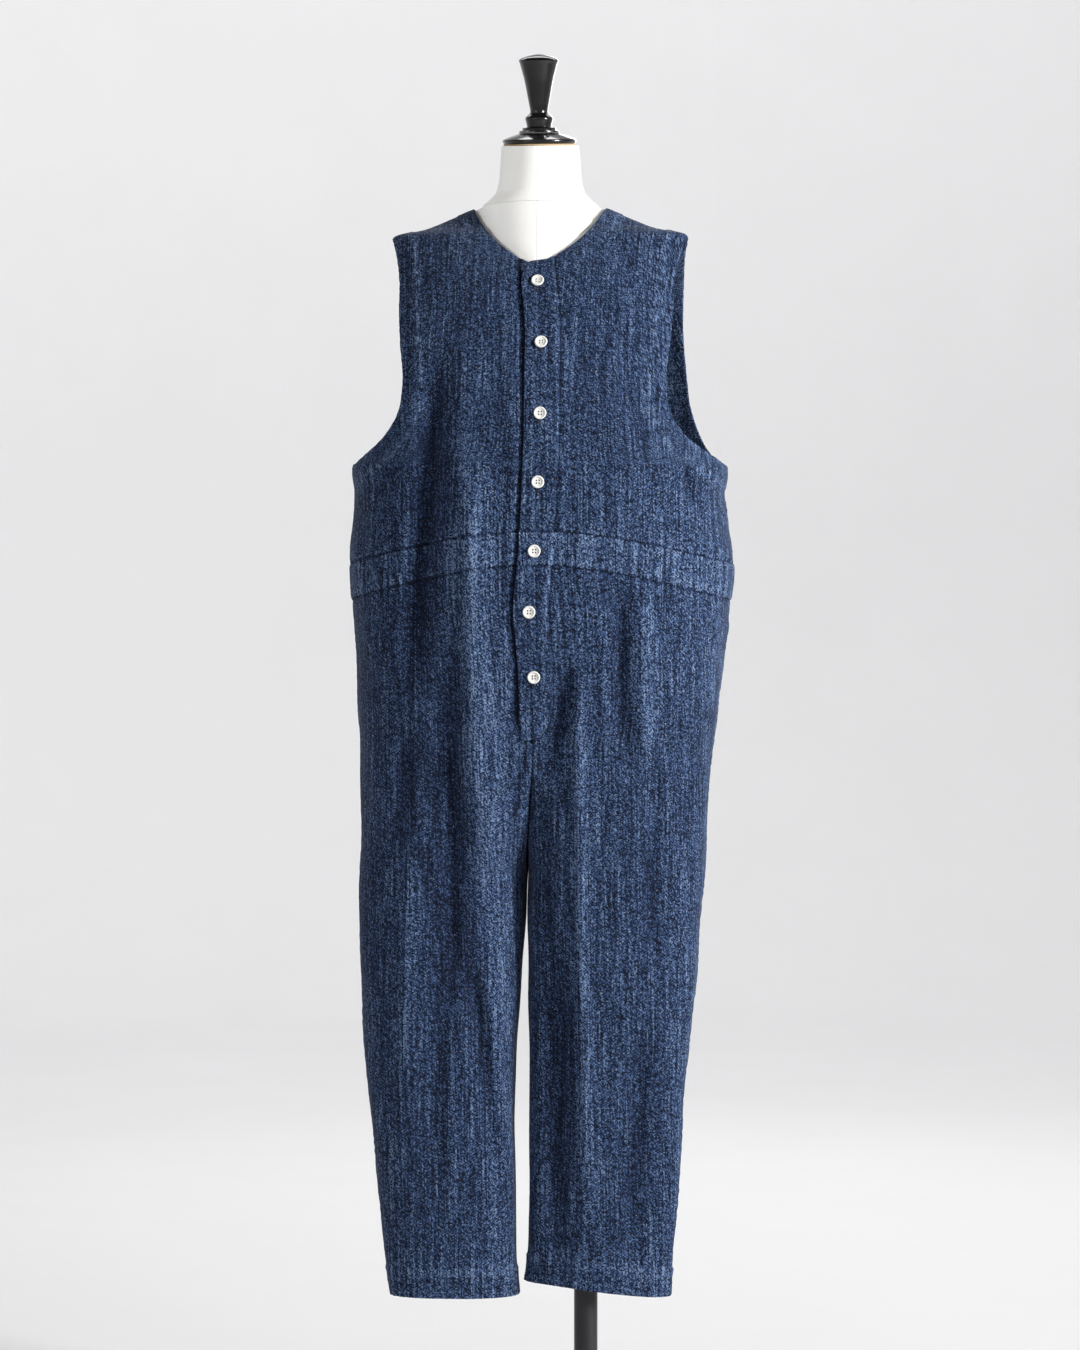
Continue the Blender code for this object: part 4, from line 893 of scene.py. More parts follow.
def bodice_half(sign, is_front, inner_s):
    """Half a bodice: rows run from the centre edge or neckline out to the side seam or
    armhole, and the last row is the shoulder seam."""
    face = "front" if is_front else "back"

    def neck_edge(t):
        if is_front:
            x = inner_s + (sign * NECK_HALF - inner_s) * t
            crossed = V_POINT + LAYER_TOP_SLOPE * np.abs(x)
            return x, np.where(x * sign < 0, crossed, neckline_height(x))
        return sign * NECK_HALF * t, nape_height(sign * NECK_HALF * t)

    def inner_edge(v):
        x, neck_z = neck_edge(share_above(v, CORNER))
        corner_z = neck_edge(np.zeros(1))[1][0]
        w = WAIST_TOP + (corner_z - WAIST_TOP) * np.clip(v / CORNER, 0.0, 1.0)
        side, start = along_centre(np.full_like(v, inner_s), w)
        edge_side = side_of(x, sign)
        on_neck = HalfSection(edge_side, np.full(v.shape, is_front), neck_z).share_at_x(x)
        if not is_front:
            start, on_neck = 2 - start, 2 - on_neck
        return w, neck_z, np.where(v > CORNER, edge_side * on_neck, side * start)

    def outer_edge(v):
        z, x = edge_point(ARMHOLE[face], share_above(v, UNDERARM_SHARE))
        sides = np.full(v.shape, float(sign))
        tau = edge_tau(sides, is_front, z, x)
        seam_top = row_height(sides, np.ones_like(v), np.full_like(v, WAIST_TOP))
        side_z = seam_top + (UNDERARM - seam_top) * np.clip(v / UNDERARM_SHARE, 0.0, 1.0)
        above = v > UNDERARM_SHARE
        return np.where(above, z, side_z), np.where(above, tau, 1.0)

    def place(u, v):
        w, neck_z, inner = inner_edge(v)
        outer_z, outer_tau = outer_edge(v)
        signed = inner + (sign * outer_tau - inner) * u
        side = side_of(signed, sign)
        tau = np.abs(signed)
        above = v > CORNER
        flat = np.where(above, neck_z, row_height(side, tau, w))
        inner_z = np.where(above, neck_z, row_height(side_of(inner, sign), np.abs(inner), w))
        far_z = np.where(above, neck_z, row_height(np.full_like(u, sign), outer_tau, w))
        z = flat + (outer_z - far_z) * np.sin(u * math.pi / 2) ** 2
        return side, tau, np.where(u < AT_CENTRE, inner_z, z), np.zeros_like(u)
    return place


def bodice_back(u, v):
    across = 2 * u - 1
    right = bodice_half(-1, False, -AT_CENTRE)(np.abs(across), v)
    left = bodice_half(1, False, AT_CENTRE)(np.abs(across), v)
    return [np.where(across < 0, a, b) for a, b in zip(right, left)]


def placket_place(u, v):
    corner_z = neckline_height(np.array([BAND_RIGHT]))[0]
    w = WAIST_TOP + v * (corner_z - WAIST_TOP)
    left = BAND_LEFT + PLACKET_TAPER * ease((v - PLACKET_TAPER_FROM) / PLACKET_TAPER_LENGTH)
    s = left + (BAND_RIGHT - left) * u
    side, tau = along_centre(s, w)
    top = np.where(s < 0, V_POINT + BAND_TOP_SLOPE * s, neckline_height(s)) - corner_z
    return side, tau, row_height(side, tau, w) + top * v ** TOP_BEND, lap(s, BAND_RIGHT)


def fly_place(u, w):
    right = fly_edge(w)
    left = np.interp(w, [FLY_END, FLY_FULL], [FLY_TIP, BAND_LEFT])
    s = left + (right - left) * u
    side, tau = along_centre(s, w)
    return side, tau, row_height(side, tau, w), lap(s, right)


def bodice_rows(count, amount=0.35):
    rows = crowded(count, amount)
    for corner in (CORNER, UNDERARM_SHARE):
        rows[np.argmin(np.abs(rows - corner))] = corner
    return rows


BACK_HALF = 100                     # the last column of the back's right half
BACK_COLUMNS = np.concatenate((np.linspace(0, 0.5 - 1e-7, BACK_HALF + 1),
                               np.linspace(0.5 + 1e-7, 1, BACK_HALF + 1)))
BAND_COLUMNS = np.concatenate((np.linspace(0, BAND_SHARE, 31)[:-1],
                               BAND_SHARE + (1 - BAND_SHARE) * np.linspace(0, 1, 151)))


def make_panels():
    def right_edge(w):
        return np.where(w < FLY_END, -AT_CENTRE, fly_edge(w) - BAND_EASE)

    def left_edge(w):
        return np.where(w < FLY_END, AT_CENTRE, fly_edge(w))

    def back_edge(sign):
        return lambda w: np.full_like(w, sign * AT_CENTRE)

    low, high = row_border(0, PUCKERED_SEAM), row_border(-1, PLAIN_SEAM)
    front = {"low": low, "high": high,
             "side": column_border(-1, PUCKERED_SEAM, end=UNDERARM_SHARE),
             "armhole": column_border(-1, FACED_EDGE, start=UNDERARM_SHARE),
             "neck": column_border(0, NECK_EDGE, start=CORNER)}
    front_left = {**front, "opening": column_border(0, JOINED_EDGE, end=CORNER)}
    back = {"low": low, "high": high}
    for look, name, span in ((PUCKERED_SEAM, "side", {"end": UNDERARM_SHARE}),
                             (FACED_EDGE, "armhole", {"start": UNDERARM_SHARE})):
        for hand, index in (("right", 0), ("left", -1)):
            back[f"{name}_{hand}"] = column_border(index, look, **span)
    for hand, index in (("right", BACK_HALF), ("left", BACK_HALF + 1)):
        back[f"neck_{hand}"] = column_border(index, NECK_EDGE, start=CORNER)
    lapped = {"inner": column_border(0, LAP_EDGE), "outer": column_border(-1, JOINED_EDGE)}
    fly_rows = np.array([w for w in trouser_rows() if w >= FLY_END - 1e-9])
    across = crowded(20, 0.6)
    panels = [
        trouser_panel(-1, True, right_edge),
        trouser_panel(1, True, left_edge),
        trouser_panel(-1, False, back_edge(-1)),
        trouser_panel(1, False, back_edge(1)),
        waistband_panel("waistband_front_right_cloth", waistband_right, np.linspace(0, 1, 171), -1),
        waistband_panel("waistband_front_left_cloth", waistband_left, BAND_COLUMNS, 1),
        waistband_panel("waistband_back_cloth", waistband_behind, np.linspace(0, 1, 301), -1),
        Panel("front_bodice_right_cloth", bodice_half(-1, True, BAND_RIGHT - BAND_EASE),
              crowded(115), bodice_rows(140), -1, front),
        Panel("front_bodice_left_cloth", bodice_half(1, True, BAND_RIGHT),
              crowded(115), bodice_rows(140), 1, front_left),
        Panel("back_bodice_cloth", bodice_back, BACK_COLUMNS, bodice_rows(130), -1, back,
              parted=BACK_HALF),
        Panel("button_placket_cloth", placket_place, across, np.linspace(0, 1, 101), 1,
              {**lapped, "low": row_border(0, PLAIN_SEAM)}, BAND_WALL),
        Panel("fly_placket_cloth", fly_place, across, fly_rows, 1, {**lapped, "high": high},
              BAND_WALL),
    ]
    return {panel.name.removesuffix("_cloth"): panel for panel in panels}


# Edges turned in, stitches, buttonholes and buttons


def turned_in(name, panel, rows, cols):
    """Cloth folded in along an edge, against the inside of its panel."""
    points, normals = panel.along(rows, cols)
    depth = panel.wall + FACING_GAP
    uv = panel.sample(panel.uv, rows, cols) + FACING_SHIFT
    wear = panel.sample(panel.wear[..., None], rows, cols)[..., 0]
    return grid_mesh(name, points - normals * depth, uv, wear, panel.facing, FACING_WALL)


def armhole_facing(name, panel, border, edge):
    far = panel.points.shape[1] - 1
    row, col = panel.line_by_row(border, ARMHOLE_BAND, edge, far - edge)
    share = np.linspace(0, 1, FACING_STEPS + 1)
    start, end = (np.zeros_like(col), col) if edge == 0 else (col, np.full_like(col, far))
    cols = start[:, None] + (end - start)[:, None] * share
    return turned_in(name, panel, np.repeat(row[:, None], len(share), axis=1), cols)


def hem_turn_up(name, panel):
    row, col = panel.line_by_column("low", HEM_BAND)
    share = np.linspace(0, 1, FACING_STEPS + 1)
    return turned_in(name, panel, share[:, None] * row, np.repeat(col[None], len(share), axis=0))


def stitches(name, lines, length=STITCH, pitch=STITCH_PITCH, radius=THREAD_RADIUS, crosswise=False):
    """Stitches along lines of places and normals: one small stitch repeated by an array,
    each copy then laid in its place."""
    parts = []
    for places, outward in lines:
        lengths = np.concatenate(([0.0], np.cumsum(np.linalg.norm(np.diff(places, axis=0), axis=1))))
        count = max(1, int(lengths[-1] / pitch))
        middles = (np.arange(count) + 0.5) * lengths[-1] / count

        def at(values, where):
            return np.stack([np.interp(where, lengths, values[:, k]) for k in range(3)], axis=1)

        ahead = at(places, middles + pitch / 3) - at(places, middles - pitch / 3)
        parts.append((at(places, middles), at(outward, middles), ahead))
    centre, normal, ahead = (np.concatenate(group) for group in zip(*parts))
    normal /= np.linalg.norm(normal, axis=1, keepdims=True)
    ahead /= np.linalg.norm(ahead, axis=1, keepdims=True)
    beside = np.cross(normal, ahead)
    axes = (ahead, normal, -beside) if crosswise else (beside, normal, ahead)

    piece = new_piece(name, bpy.ops.mesh.primitive_uv_sphere_add, segments=6, ring_count=4, radius=1)
    shaped_by(piece, "ARRAY", count=len(centre), use_relative_offset=False,
              use_constant_offset=True, constant_offset_displace=(ARRAY_STEP, 0, 0))
    flat = np.empty(len(piece.data.vertices) * 3)
    piece.data.vertices.foreach_get("co", flat)
    local = flat.reshape(len(centre), -1, 3)
    local[..., 0] -= ARRAY_STEP * np.arange(len(centre))[:, None]
    local *= (radius, radius, length / 2)
    local[..., 1] += radius * THREAD_RISE
    laid = centre[:, None] + sum(local[..., [k]] * axes[k][:, None] for k in range(3))
    piece.data.vertices.foreach_set("co", laid.ravel())
    piece.data.shade_smooth()
    piece.data.update()
    return piece


def on_band(s, w, lift):
    """Places on the front band's face, and the outward normals there."""
    def at(across, up):
        side, tau = along_centre(s + across, w + up)
        return cloth_surface(side, tau, w + up)
    step = 0.002
    normal = np.cross(at(step, 0) - at(-step, 0), at(0, step) - at(0, -step))
    normal /= np.linalg.norm(normal, axis=1, keepdims=True)
    return at(0, 0) + normal * lift, normal


def buttonhole_line(number):
    """The outline of a buttonhole, whose end shows beyond its button."""
    turn = np.linspace(0, 2 * math.pi, 61)
    reach = BUTTONHOLE_HALF - BUTTONHOLE_WIDTH
    long = reach * np.clip(1.6 * np.cos(turn), -1, 1) + BUTTONHOLE_WIDTH * np.cos(turn)
    narrow = BUTTONHOLE_WIDTH * np.sin(turn)
    w = BUTTON_HEIGHTS[number - 1]
    if number == WAIST_BUTTON:
        return on_band(BUTTONHOLE_SHIFT + long, w + narrow, LAP_LIFT)
    return on_band(narrow, w - BUTTONHOLE_SHIFT + long, LAP_LIFT)


BUTTON = table(Turn, [
    (0.0000, 0.0062), (0.0005, 0.0069), (0.0012, 0.0074), (0.0020, 0.0075), (0.0026, 0.0073),
    (0.0030, 0.0068), (0.0031, 0.0063), (0.0029, 0.0057), (0.0024, 0.0051), (0.0020, 0.0046),
    (0.0018, 0.0036),
])


def button_blank():
    """A turned button with a raised rim, and four holes cut through it."""
    blank = turned("button_blank", BUTTON, 40)
    corners = [(x, y) for x in (-BUTTON_HOLE_OFFSET, BUTTON_HOLE_OFFSET)
               for y in (-BUTTON_HOLE_OFFSET, BUTTON_HOLE_OFFSET)]
    cutters = [new_piece("cutter", bpy.ops.mesh.primitive_cylinder_add, vertices=14,
                         radius=BUTTON_HOLE, depth=BUTTON_CUT,
                         location=(x, y, BUTTON_CUT_MIDDLE))
               for x, y in corners]
    use(cutters[0])
    for cutter in cutters:
        cutter.select_set(True)
    bpy.ops.object.join()
    shaped_by(blank, "BOOLEAN", operation="DIFFERENCE", object=cutters[0])
    bpy.data.objects.remove(cutters[0], do_unlink=True)
    bpy.ops.object.shade_smooth_by_angle(angle=BODY_ANGLE)
    return blank


def make_buttons():
    blank = button_blank()
    resin = button_resin()
    for number, w in enumerate(BUTTON_HEIGHTS, start=1):
        place, normal = on_band(np.array([BUTTON_OFF_CENTRE]), np.array([w]), LAP_LIFT + BUTTON_GAP)
        across = np.cross((0.0, 0.0, 1.0), normal[0])
        across /= np.linalg.norm(across)
        axes = (across, np.cross(normal[0], across), normal[0], place[0])
        use(blank)
        bpy.ops.object.duplicate()
        button = bpy.context.object
        button.name = f"button_{number}_turned"
        button.data.name = button.name
        button.data.transform(Matrix([[*row] for row in np.array(axes).T] + [[0, 0, 0, 1]]))
        dress(button, resin, "button", f"button_{number}")
    bpy.data.objects.remove(blank, do_unlink=True)


def stitch_lines(node, panel):
    """The stitch lines that show on a piece."""
    far = panel.points.shape[1] - 1
    lines = []
    if node.startswith("trouser"):
        lines.append(panel.line_by_column("low", HEM_BAND))
    if node.startswith("waistband"):
        top = panel.points.shape[0] - 1
        lines.append(panel.line_by_column("low", WAIST_STITCH))
        lines.append(panel.line_by_column("high", WAIST_STITCH, top, 0))
    if node.startswith("front_bodice"):
        lines.append(panel.line_by_row("armhole", ARMHOLE_BAND, far, 0))
        lines.append(panel.line_by_row("neck", NECK_BAND))
    if node == "back_bodice":
        lines.append(panel.line_by_row("armhole_right", ARMHOLE_BAND, 0, BACK_HALF))
        lines.append(panel.line_by_row("armhole_left", ARMHOLE_BAND, far, BACK_HALF + 1))
        lines.append(panel.line_by_row("neck_right", NECK_BAND, BACK_HALF, 0))
        lines.append(panel.line_by_row("neck_left", NECK_BAND, BACK_HALF + 1, far))
    if node.endswith("placket"):
        lines.append(panel.line_by_row("outer", LAP_STITCH, far, 0))
    placed = [panel.along(*line) for line in lines]
    if node == "front_bodice_right":
        placed = [uncovered(*line) for line in placed]
    return placed


def uncovered(places, normals):
    """What the lapped band leaves open of a line on the layer below it."""
    edge = FORM_X + column(CENTRE, "x", places[:, 2]) + BAND_LEFT - 0.001
    shown = places[:, 0] < edge
    return places[shown], normals[shown]


def make_garment():
    cloth, sewing = denim(), thread()
    for node, panel in make_panels().items():
        piece = dress(panel.build(), cloth, "denim", node)
        extras = [dress(stitches(f"{node}_stitches", stitch_lines(node, panel)), sewing, "denim")]
        far = panel.points.shape[1] - 1
        turned_edges = []
        if node.startswith("trouser"):
            turned_edges.append(hem_turn_up(f"{node}_hem", panel))
        if node.startswith("front_bodice"):
            turned_edges.append(armhole_facing(f"{node}_facing", panel, "armhole", far))
        if node == "back_bodice":
            for hand, edge in (("right", 0), ("left", far)):
                turned_edges.append(
                    armhole_facing(f"{node}_facing_{hand}", panel, f"armhole_{hand}", edge))
        extras += [dress(extra, cloth, "denim") for extra in turned_edges]
    holes = [buttonhole_line(number) for number in range(1, len(BUTTON_HEIGHTS) + 1)]
    bars = stitches("buttonholes", holes, SATIN, SATIN_PITCH, crosswise=True)
    dress(bars, buttonhole_thread(), "denim")
    make_buttons()


# Finishes


class Graph:
    """A material's nodes, added one after another."""

    def __init__(self, name, roughness, metallic=0.0):
        self.material = bpy.data.materials.new(name)
        self.material.use_nodes = True
        self.tree = self.material.node_tree
        self.shader = self.tree.nodes["Principled BSDF"]
        self.set("Roughness", roughness)
        self.set("Metallic", metallic)

    def set(self, socket, value):
        if isinstance(value, bpy.types.NodeSocket):
            self.tree.links.new(value, self.shader.inputs[socket])
        else:
            self.shader.inputs[socket].default_value = value

    def add(self, kind, output=0, settings=(), **inputs):
        node = self.tree.nodes.new(kind)
        for name, value in dict(settings).items():
            setattr(node, name, value)
        for name, value in inputs.items():
            socket = node.inputs[int(name[1:])] if name[0] == "i" and name[1:].isdigit() else \
                node.inputs[name.replace("_", " ")]
            if isinstance(value, bpy.types.NodeSocket):
                self.tree.links.new(value, socket)
            else:
                socket.default_value = value
        return node.outputs[output]

    def math(self, operation, a, b=0.0):
        return self.add("ShaderNodeMath", settings={"operation": operation}, i0=a, i1=b)

    def noise(self, vector, scale, stretch, detail=2.0, roughness=0.6):
        place = self.add("ShaderNodeMapping", Vector=vector, Scale=stretch)
        return self.add("ShaderNodeTexNoise", Vector=place, Scale=scale, Detail=detail,
                        Roughness=roughness)

    def snap(self, vector, step):
        return self.add("ShaderNodeVectorMath", settings={"operation": "SNAP"}, i0=vector, i1=step)

    def ramp(self, value, stops):
        result = self.add("ShaderNodeValToRGB", Fac=value)
        elements = result.node.color_ramp.elements
        while len(elements) < len(stops):
            elements.new(0.5)
        for element, (position, colour) in zip(elements, stops):
            element.position = position
            element.color = (*colour, 1.0)
        return result

    def bump(self, height, distance, strength=1.0, normal=None):
        inputs = {"Height": height, "Distance": distance, "Strength": strength}
        if normal is not None:
            inputs["Normal"] = normal
        return self.add("ShaderNodeBump", **inputs)


def srgb(*levels):
    """A colour given as 0 to 255 in sRGB, as linear light."""
    shares = [level / 255 for level in levels]
    return tuple(c / 12.92 if c <= 0.04045 else ((c + 0.055) / 1.055) ** 2.4 for c in shares)


YARN_PITCH = 0.0017
FLOAT_SIZE = (0.00125, 0.00165, 1.0)
YARN_SNAP = (YARN_PITCH, 0.00001, 1.0)
FLECK_CELLS = (330.0, 260.0, 1.0)
FLECK_SIZE = 0.16
FLECK_RARITY = 0.955
FLECK_SHARE = 0.75
YARN_TONE = 0.44                    # each part's share in the cloth's tone
SLUB_TONE = 0.14
BROAD_TONE = 0.09
GRAIN_TONE = 0.12
FLOAT_TONE = 0.40
TWILL_TONE = 0.08
TONE_SHIFT = 0.025
WEAR_AND_SHADE_TONE = 0.24
DENIM_TINTS = [(0.475, (11, 17, 32)), (0.60, (29, 43, 71)), (0.735, (58, 79, 116)),
               (0.92, (122, 143, 173))]
EVEN = (1.0, 1.0, 1.0)


def weave_floats(graph, cloth):
    """Each float of the weave in its own shade, in diagonal ranks."""
    across, up = (graph.add("ShaderNodeSeparateXYZ", part, Vector=cloth) for part in (0, 1))
    slanted = graph.math("ADD", across, graph.math("MULTIPLY", up, 0.5))
    ranks = graph.add("ShaderNodeCombineXYZ", X=slanted, Y=up)
    return graph.add("ShaderNodeTexWhiteNoise", 0, settings={"noise_dimensions": "2D"},
                     Vector=graph.snap(ranks, FLOAT_SIZE))


def denim():
    """Slub denim: uneven warp yarns, a fine twill, pale flecks, fading at edges and puckers, and
    painted shade in seams, beside the lap and in fold troughs, with painted light on fold ridges.
    """
    graph = Graph("denim", 0.86)
    cloth = graph.add("ShaderNodeUVMap", settings={"uv_map": "cloth"})
    worn_and_shaded = graph.add("ShaderNodeAttribute", 2, settings={"attribute_name": "wear"})
    each = graph.add("ShaderNodeMapping", Vector=graph.snap(cloth, YARN_SNAP),
                     Location=(YARN_PITCH / 12, 0.0, 0.0))
    yarns = graph.noise(each, 1.0, (3 / YARN_PITCH, 11.0, 1.0), 1.0, 0.5)
    slubs = graph.noise(each, 1.0, (5 / YARN_PITCH, 70.0, 1.0), 1.0, 0.5)
    broad = graph.noise(cloth, 1.0, (80.0, 3.0, 1.0), 3.0, 0.6)
    grain = graph.noise(cloth, 1.0, (1150.0, 720.0, 1.0), 2.0, 0.75)
    place = graph.add("ShaderNodeMapping", Vector=cloth, Rotation=(0, 0, math.radians(58)))
    twill = graph.add("ShaderNodeTexWave", 1, Vector=place, Scale=110.0, Distortion=1.2,
                      Detail=1.0, settings={"bands_direction": "X"})
    tone = graph.math("MULTIPLY", yarns, YARN_TONE)
    for part, share in ((slubs, SLUB_TONE), (broad, BROAD_TONE), (grain, GRAIN_TONE),
                        (weave_floats(graph, cloth), FLOAT_TONE), (twill, TWILL_TONE)):
        tone = graph.add("ShaderNodeMath", settings={"operation": "MULTIPLY_ADD"},
                         i0=part, i1=share, i2=tone)
    tone = graph.math("SUBTRACT", tone, TONE_SHIFT)
    # the vertex value lightens faded cloth and fold ridges (painted light) and darkens seams, the lap's
    # side and fold troughs (painted shade)
    tone = graph.math("ADD", tone, graph.math("MULTIPLY", worn_and_shaded, WEAR_AND_SHADE_TONE))
    base = graph.ramp(tone, [(place, srgb(*tint)) for place, tint in DENIM_TINTS])
    cells = graph.add("ShaderNodeMapping", Vector=cloth, Scale=FLECK_CELLS)
    flecks, chosen = (graph.add("ShaderNodeTexVoronoi", output, Vector=cells, Scale=1.0)
                      for output in (0, 1))
    near = graph.math("LESS_THAN", flecks, FLECK_SIZE)
    rare = graph.math("GREATER_THAN", graph.add("ShaderNodeSeparateColor", Color=chosen), FLECK_RARITY)
    fleck = graph.math("MULTIPLY", graph.math("MULTIPLY", near, rare), FLECK_SHARE)
    graph.set("Base Color", graph.add("ShaderNodeMix", 2, settings={"data_type": "RGBA"}, i0=fleck,
                                      i6=base, i7=(*srgb(176, 182, 190), 1.0)))
    height = graph.math("ADD", graph.math("MULTIPLY", yarns, 0.5), graph.math("MULTIPLY", grain, 0.6))
    height = graph.math("ADD", height, graph.math("MULTIPLY", twill, 0.35))
    graph.set("Normal", graph.bump(height, 0.00016, 0.8))
    graph.set("Sheen Weight", 0.05)
    graph.set("Sheen Roughness", 0.5)
    graph.set("Specular IOR Level", 0.12)
    return graph.material


def speckled(name, roughness, grain, dark, light, spots=(0.3, 0.7), metallic=0.0, bump=None, **sockets):
    """A finish with one noise on the object's own coordinates, from a dark to a light tint."""
    graph = Graph(name, roughness, metallic)
    graph.place = graph.add("ShaderNodeTexCoord", 3)
    graph.grain = graph.noise(graph.place, *grain)
    graph.set("Base Color", graph.ramp(graph.grain, list(zip(spots, (dark, light)))))
    if bump:
        graph.set("Normal", graph.bump(graph.grain, *bump))
    for socket, value in sockets.items():
        graph.set(socket.replace("_", " "), value)
    return graph


def roughness_ramp(graph, noise, low, high):
    graph.set("Roughness", graph.ramp(noise, [(0.3, (low,) * 3), (0.8, (high,) * 3)]))


def thread():
    return speckled("thread", 0.7, (2200.0, EVEN, 1.0), srgb(34, 44, 70), srgb(66, 80, 112),
                    bump=(0.0002,)).material


def buttonhole_thread():
    return speckled("buttonhole_thread", 0.7, (1.0, (700.0, 700.0, 2600.0), 1.0),
                    srgb(16, 19, 32), srgb(34, 40, 62), bump=(0.0003,)).material


def button_resin():
    return speckled("button_resin", 0.28, (1.0, (420.0, 420.0, 160.0), 3.0), srgb(226, 224, 218),
                    srgb(246, 245, 241), bump=(0.0001, 0.4), Coat_Weight=0.3).material


def form_cover():
    """Fine off-white cotton, pulled tight and sized."""
    graph = speckled("form_cover", 0.78, (14.0, EVEN, 4.0), srgb(217, 216, 212),
                     srgb(225, 224, 221), Sheen_Weight=0.08)
    warp = graph.noise(graph.place, 1.0, (2600.0, 2600.0, 240.0), 1.0)
    weft = graph.noise(graph.place, 1.0, (240.0, 240.0, 2600.0), 1.0)
    graph.set("Normal", graph.bump(graph.math("ADD", warp, weft), 0.00012, 0.6))
    return graph.material


def black_gloss():
    graph = speckled("black_gloss", 0.2, (90.0, EVEN, 4.0), srgb(12, 12, 13), srgb(24, 24, 26),
                     (0.3, 0.8), Coat_Weight=0.35, Coat_Roughness=0.06)
    roughness_ramp(graph, graph.grain, 0.16, 0.26)
    return graph.material


def bare_wood():
    return speckled("cap_edge", 0.5, (1.0, (300.0, 300.0, 900.0), 2.0), srgb(196, 164, 124),
                    srgb(222, 196, 160)).material


def stand_metal():
    graph = speckled("stand_metal", 0.42, (1.0, (60.0, 60.0, 8.0), 4.0), srgb(46, 46, 49),
                     srgb(62, 61, 64), (0.3, 0.8), metallic=0.5)
    speckle = graph.noise(graph.place, 1400.0, EVEN, 2.0)
    roughness_ramp(graph, speckle, 0.36, 0.52)
    graph.set("Normal", graph.bump(speckle, 0.00008, 0.5))
    return graph.material


def studio_paper():
    light = srgb(233, 233, 234)
    dark = tuple(0.985 * level for level in light)
    return speckled("studio_paper", 0.9, (3.0, EVEN, 5.0), dark, light, (0.35, 0.65)).material


def dress(piece, material, slot_name, *nodes):
    """The piece takes its finish, rides on the part's one body, and stands for its nodes."""
    piece.data.materials.clear()
    piece.data.materials.append(material)
    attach(piece, "root")
    if nodes:
        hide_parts(*nodes)
    return piece


# Dress form and stand


def form_rows():
    shoulder = []
    for row in SHOULDERS:
        if row.z > 1.41:
            side = FORM_SIDE_CLEARANCE if row.z <= SHOULDER_TIP else 0.0
            shoulder.append(FormRing(row.z - FORM_CLEARANCE, row.outer - side,
                                     row.front + FORM_DEPTH_CLEARANCE,
                                     row.back - FORM_DEPTH_CLEARANCE))
    return FORM + shoulder + [FormRing(FORM_TOP, 0.0700, -0.0100, 0.0250)]


def form_oval(table, angle, z, middle_y, power):
    across = np.abs(np.cos(angle)) / column(table, table[0]._fields[1], z)
    front, back = middle_y - column(table, "front", z), column(table, "back", z) - middle_y
    deep = np.abs(np.sin(angle)) / np.where(np.sin(angle) < 0, front, back)
    return (across ** power + deep ** power) ** (-1 / power)


FORM_SEAM_WIDTH = math.radians(0.45)
FORM_SEAM_DEPTH = 0.0004
FORM_SEAM_PLACES = np.array([-3.0, -1.5, -0.7, 0.7, 1.5, 3.0])


def form_grid(heights, is_neck=False):
    """Rings of the form, closer together in angle at the seams at its centre front and back."""
    angle = np.linspace(-math.pi / 2, 1.5 * math.pi, 97)
    for seam in (-math.pi / 2, math.pi / 2, 1.5 * math.pi):
        angle = np.append(angle, seam + FORM_SEAM_WIDTH * FORM_SEAM_PLACES)
    angle = np.unique(np.round(angle[(angle >= -math.pi / 2) & (angle <= 1.5 * math.pi)], 7))
    angle, z = np.meshgrid(angle, heights)
    shape = angle.shape
    angle, z = angle.ravel(), z.ravel()
    middle_y = column(SIDE_SEAM, "y", z)
    neck = form_oval(NECK, angle, z, middle_y, 2.0)
    if is_neck:
        reach = neck
    else:
        reach = form_oval(form_rows(), angle, z, middle_y, ROUNDNESS)
        reach = np.where(z >= NECK[0].z, np.maximum(reach, neck), reach)
    groove = np.abs(np.cos(angle)) / math.sin(FORM_SEAM_WIDTH)
    reach = reach - FORM_SEAM_DEPTH * np.exp(-groove ** 2)
    x = np.clip(reach * np.cos(angle), -ARM_PLATE, ARM_PLATE)
    y = middle_y + reach * np.sin(angle)
    tilt = NECK_TILT * (z - heights[0]) / (NECK_TOP - heights[0]) if is_neck else np.zeros_like(z)
    return np.stack([FORM_X + x, y, z + y * np.tan(tilt)], axis=-1).reshape(*shape, 3)


def ring_body(name, points):
    """A grid primitive wrapped into a closed body."""
    piece = laid_grid(name, points)[0]
    piece.data.update()
    bpy.ops.object.mode_set(mode="EDIT")
    bpy.ops.mesh.select_all(action="SELECT")
    bpy.ops.mesh.remove_doubles(threshold=0.00002)
    bpy.ops.mesh.select_all(action="DESELECT")
    bpy.ops.mesh.select_non_manifold()
    bpy.ops.mesh.fill_holes(sides=0)
    bpy.ops.mesh.select_all(action="SELECT")
    bpy.ops.mesh.normals_make_consistent(inside=False)
    bpy.ops.object.mode_set(mode="OBJECT")
    bpy.ops.object.shade_smooth_by_angle(angle=BODY_ANGLE)
    return piece


def turned(name, profile, steps=96):
    """A circle extruded ring by ring up its profile."""
    first = profile[0]
    piece = new_piece(name, bpy.ops.mesh.primitive_circle_add, vertices=steps, radius=first.radius,
                      fill_type="NGON", location=(0, 0, first.height))
    bpy.ops.object.transform_apply(location=True)
    bpy.ops.object.mode_set(mode="EDIT")
    bpy.ops.mesh.select_mode(type="EDGE")
    bpy.ops.mesh.select_all(action="SELECT")
    bpy.ops.mesh.region_to_loop()
    for low, high in zip(profile, profile[1:]):
        bpy.ops.mesh.extrude_edges_move(
            TRANSFORM_OT_translate={"value": (0, 0, high.height - low.height)})
        share = high.radius / low.radius
        bpy.ops.transform.resize(value=(share, share, 1), center_override=(0, 0, high.height))
    bpy.ops.mesh.edge_face_add()
    bpy.ops.mesh.select_all(action="SELECT")
    bpy.ops.mesh.normals_make_consistent(inside=False)
    bpy.ops.object.mode_set(mode="OBJECT")
    bpy.ops.object.shade_smooth_by_angle(angle=TURNED_ANGLE)
    return piece


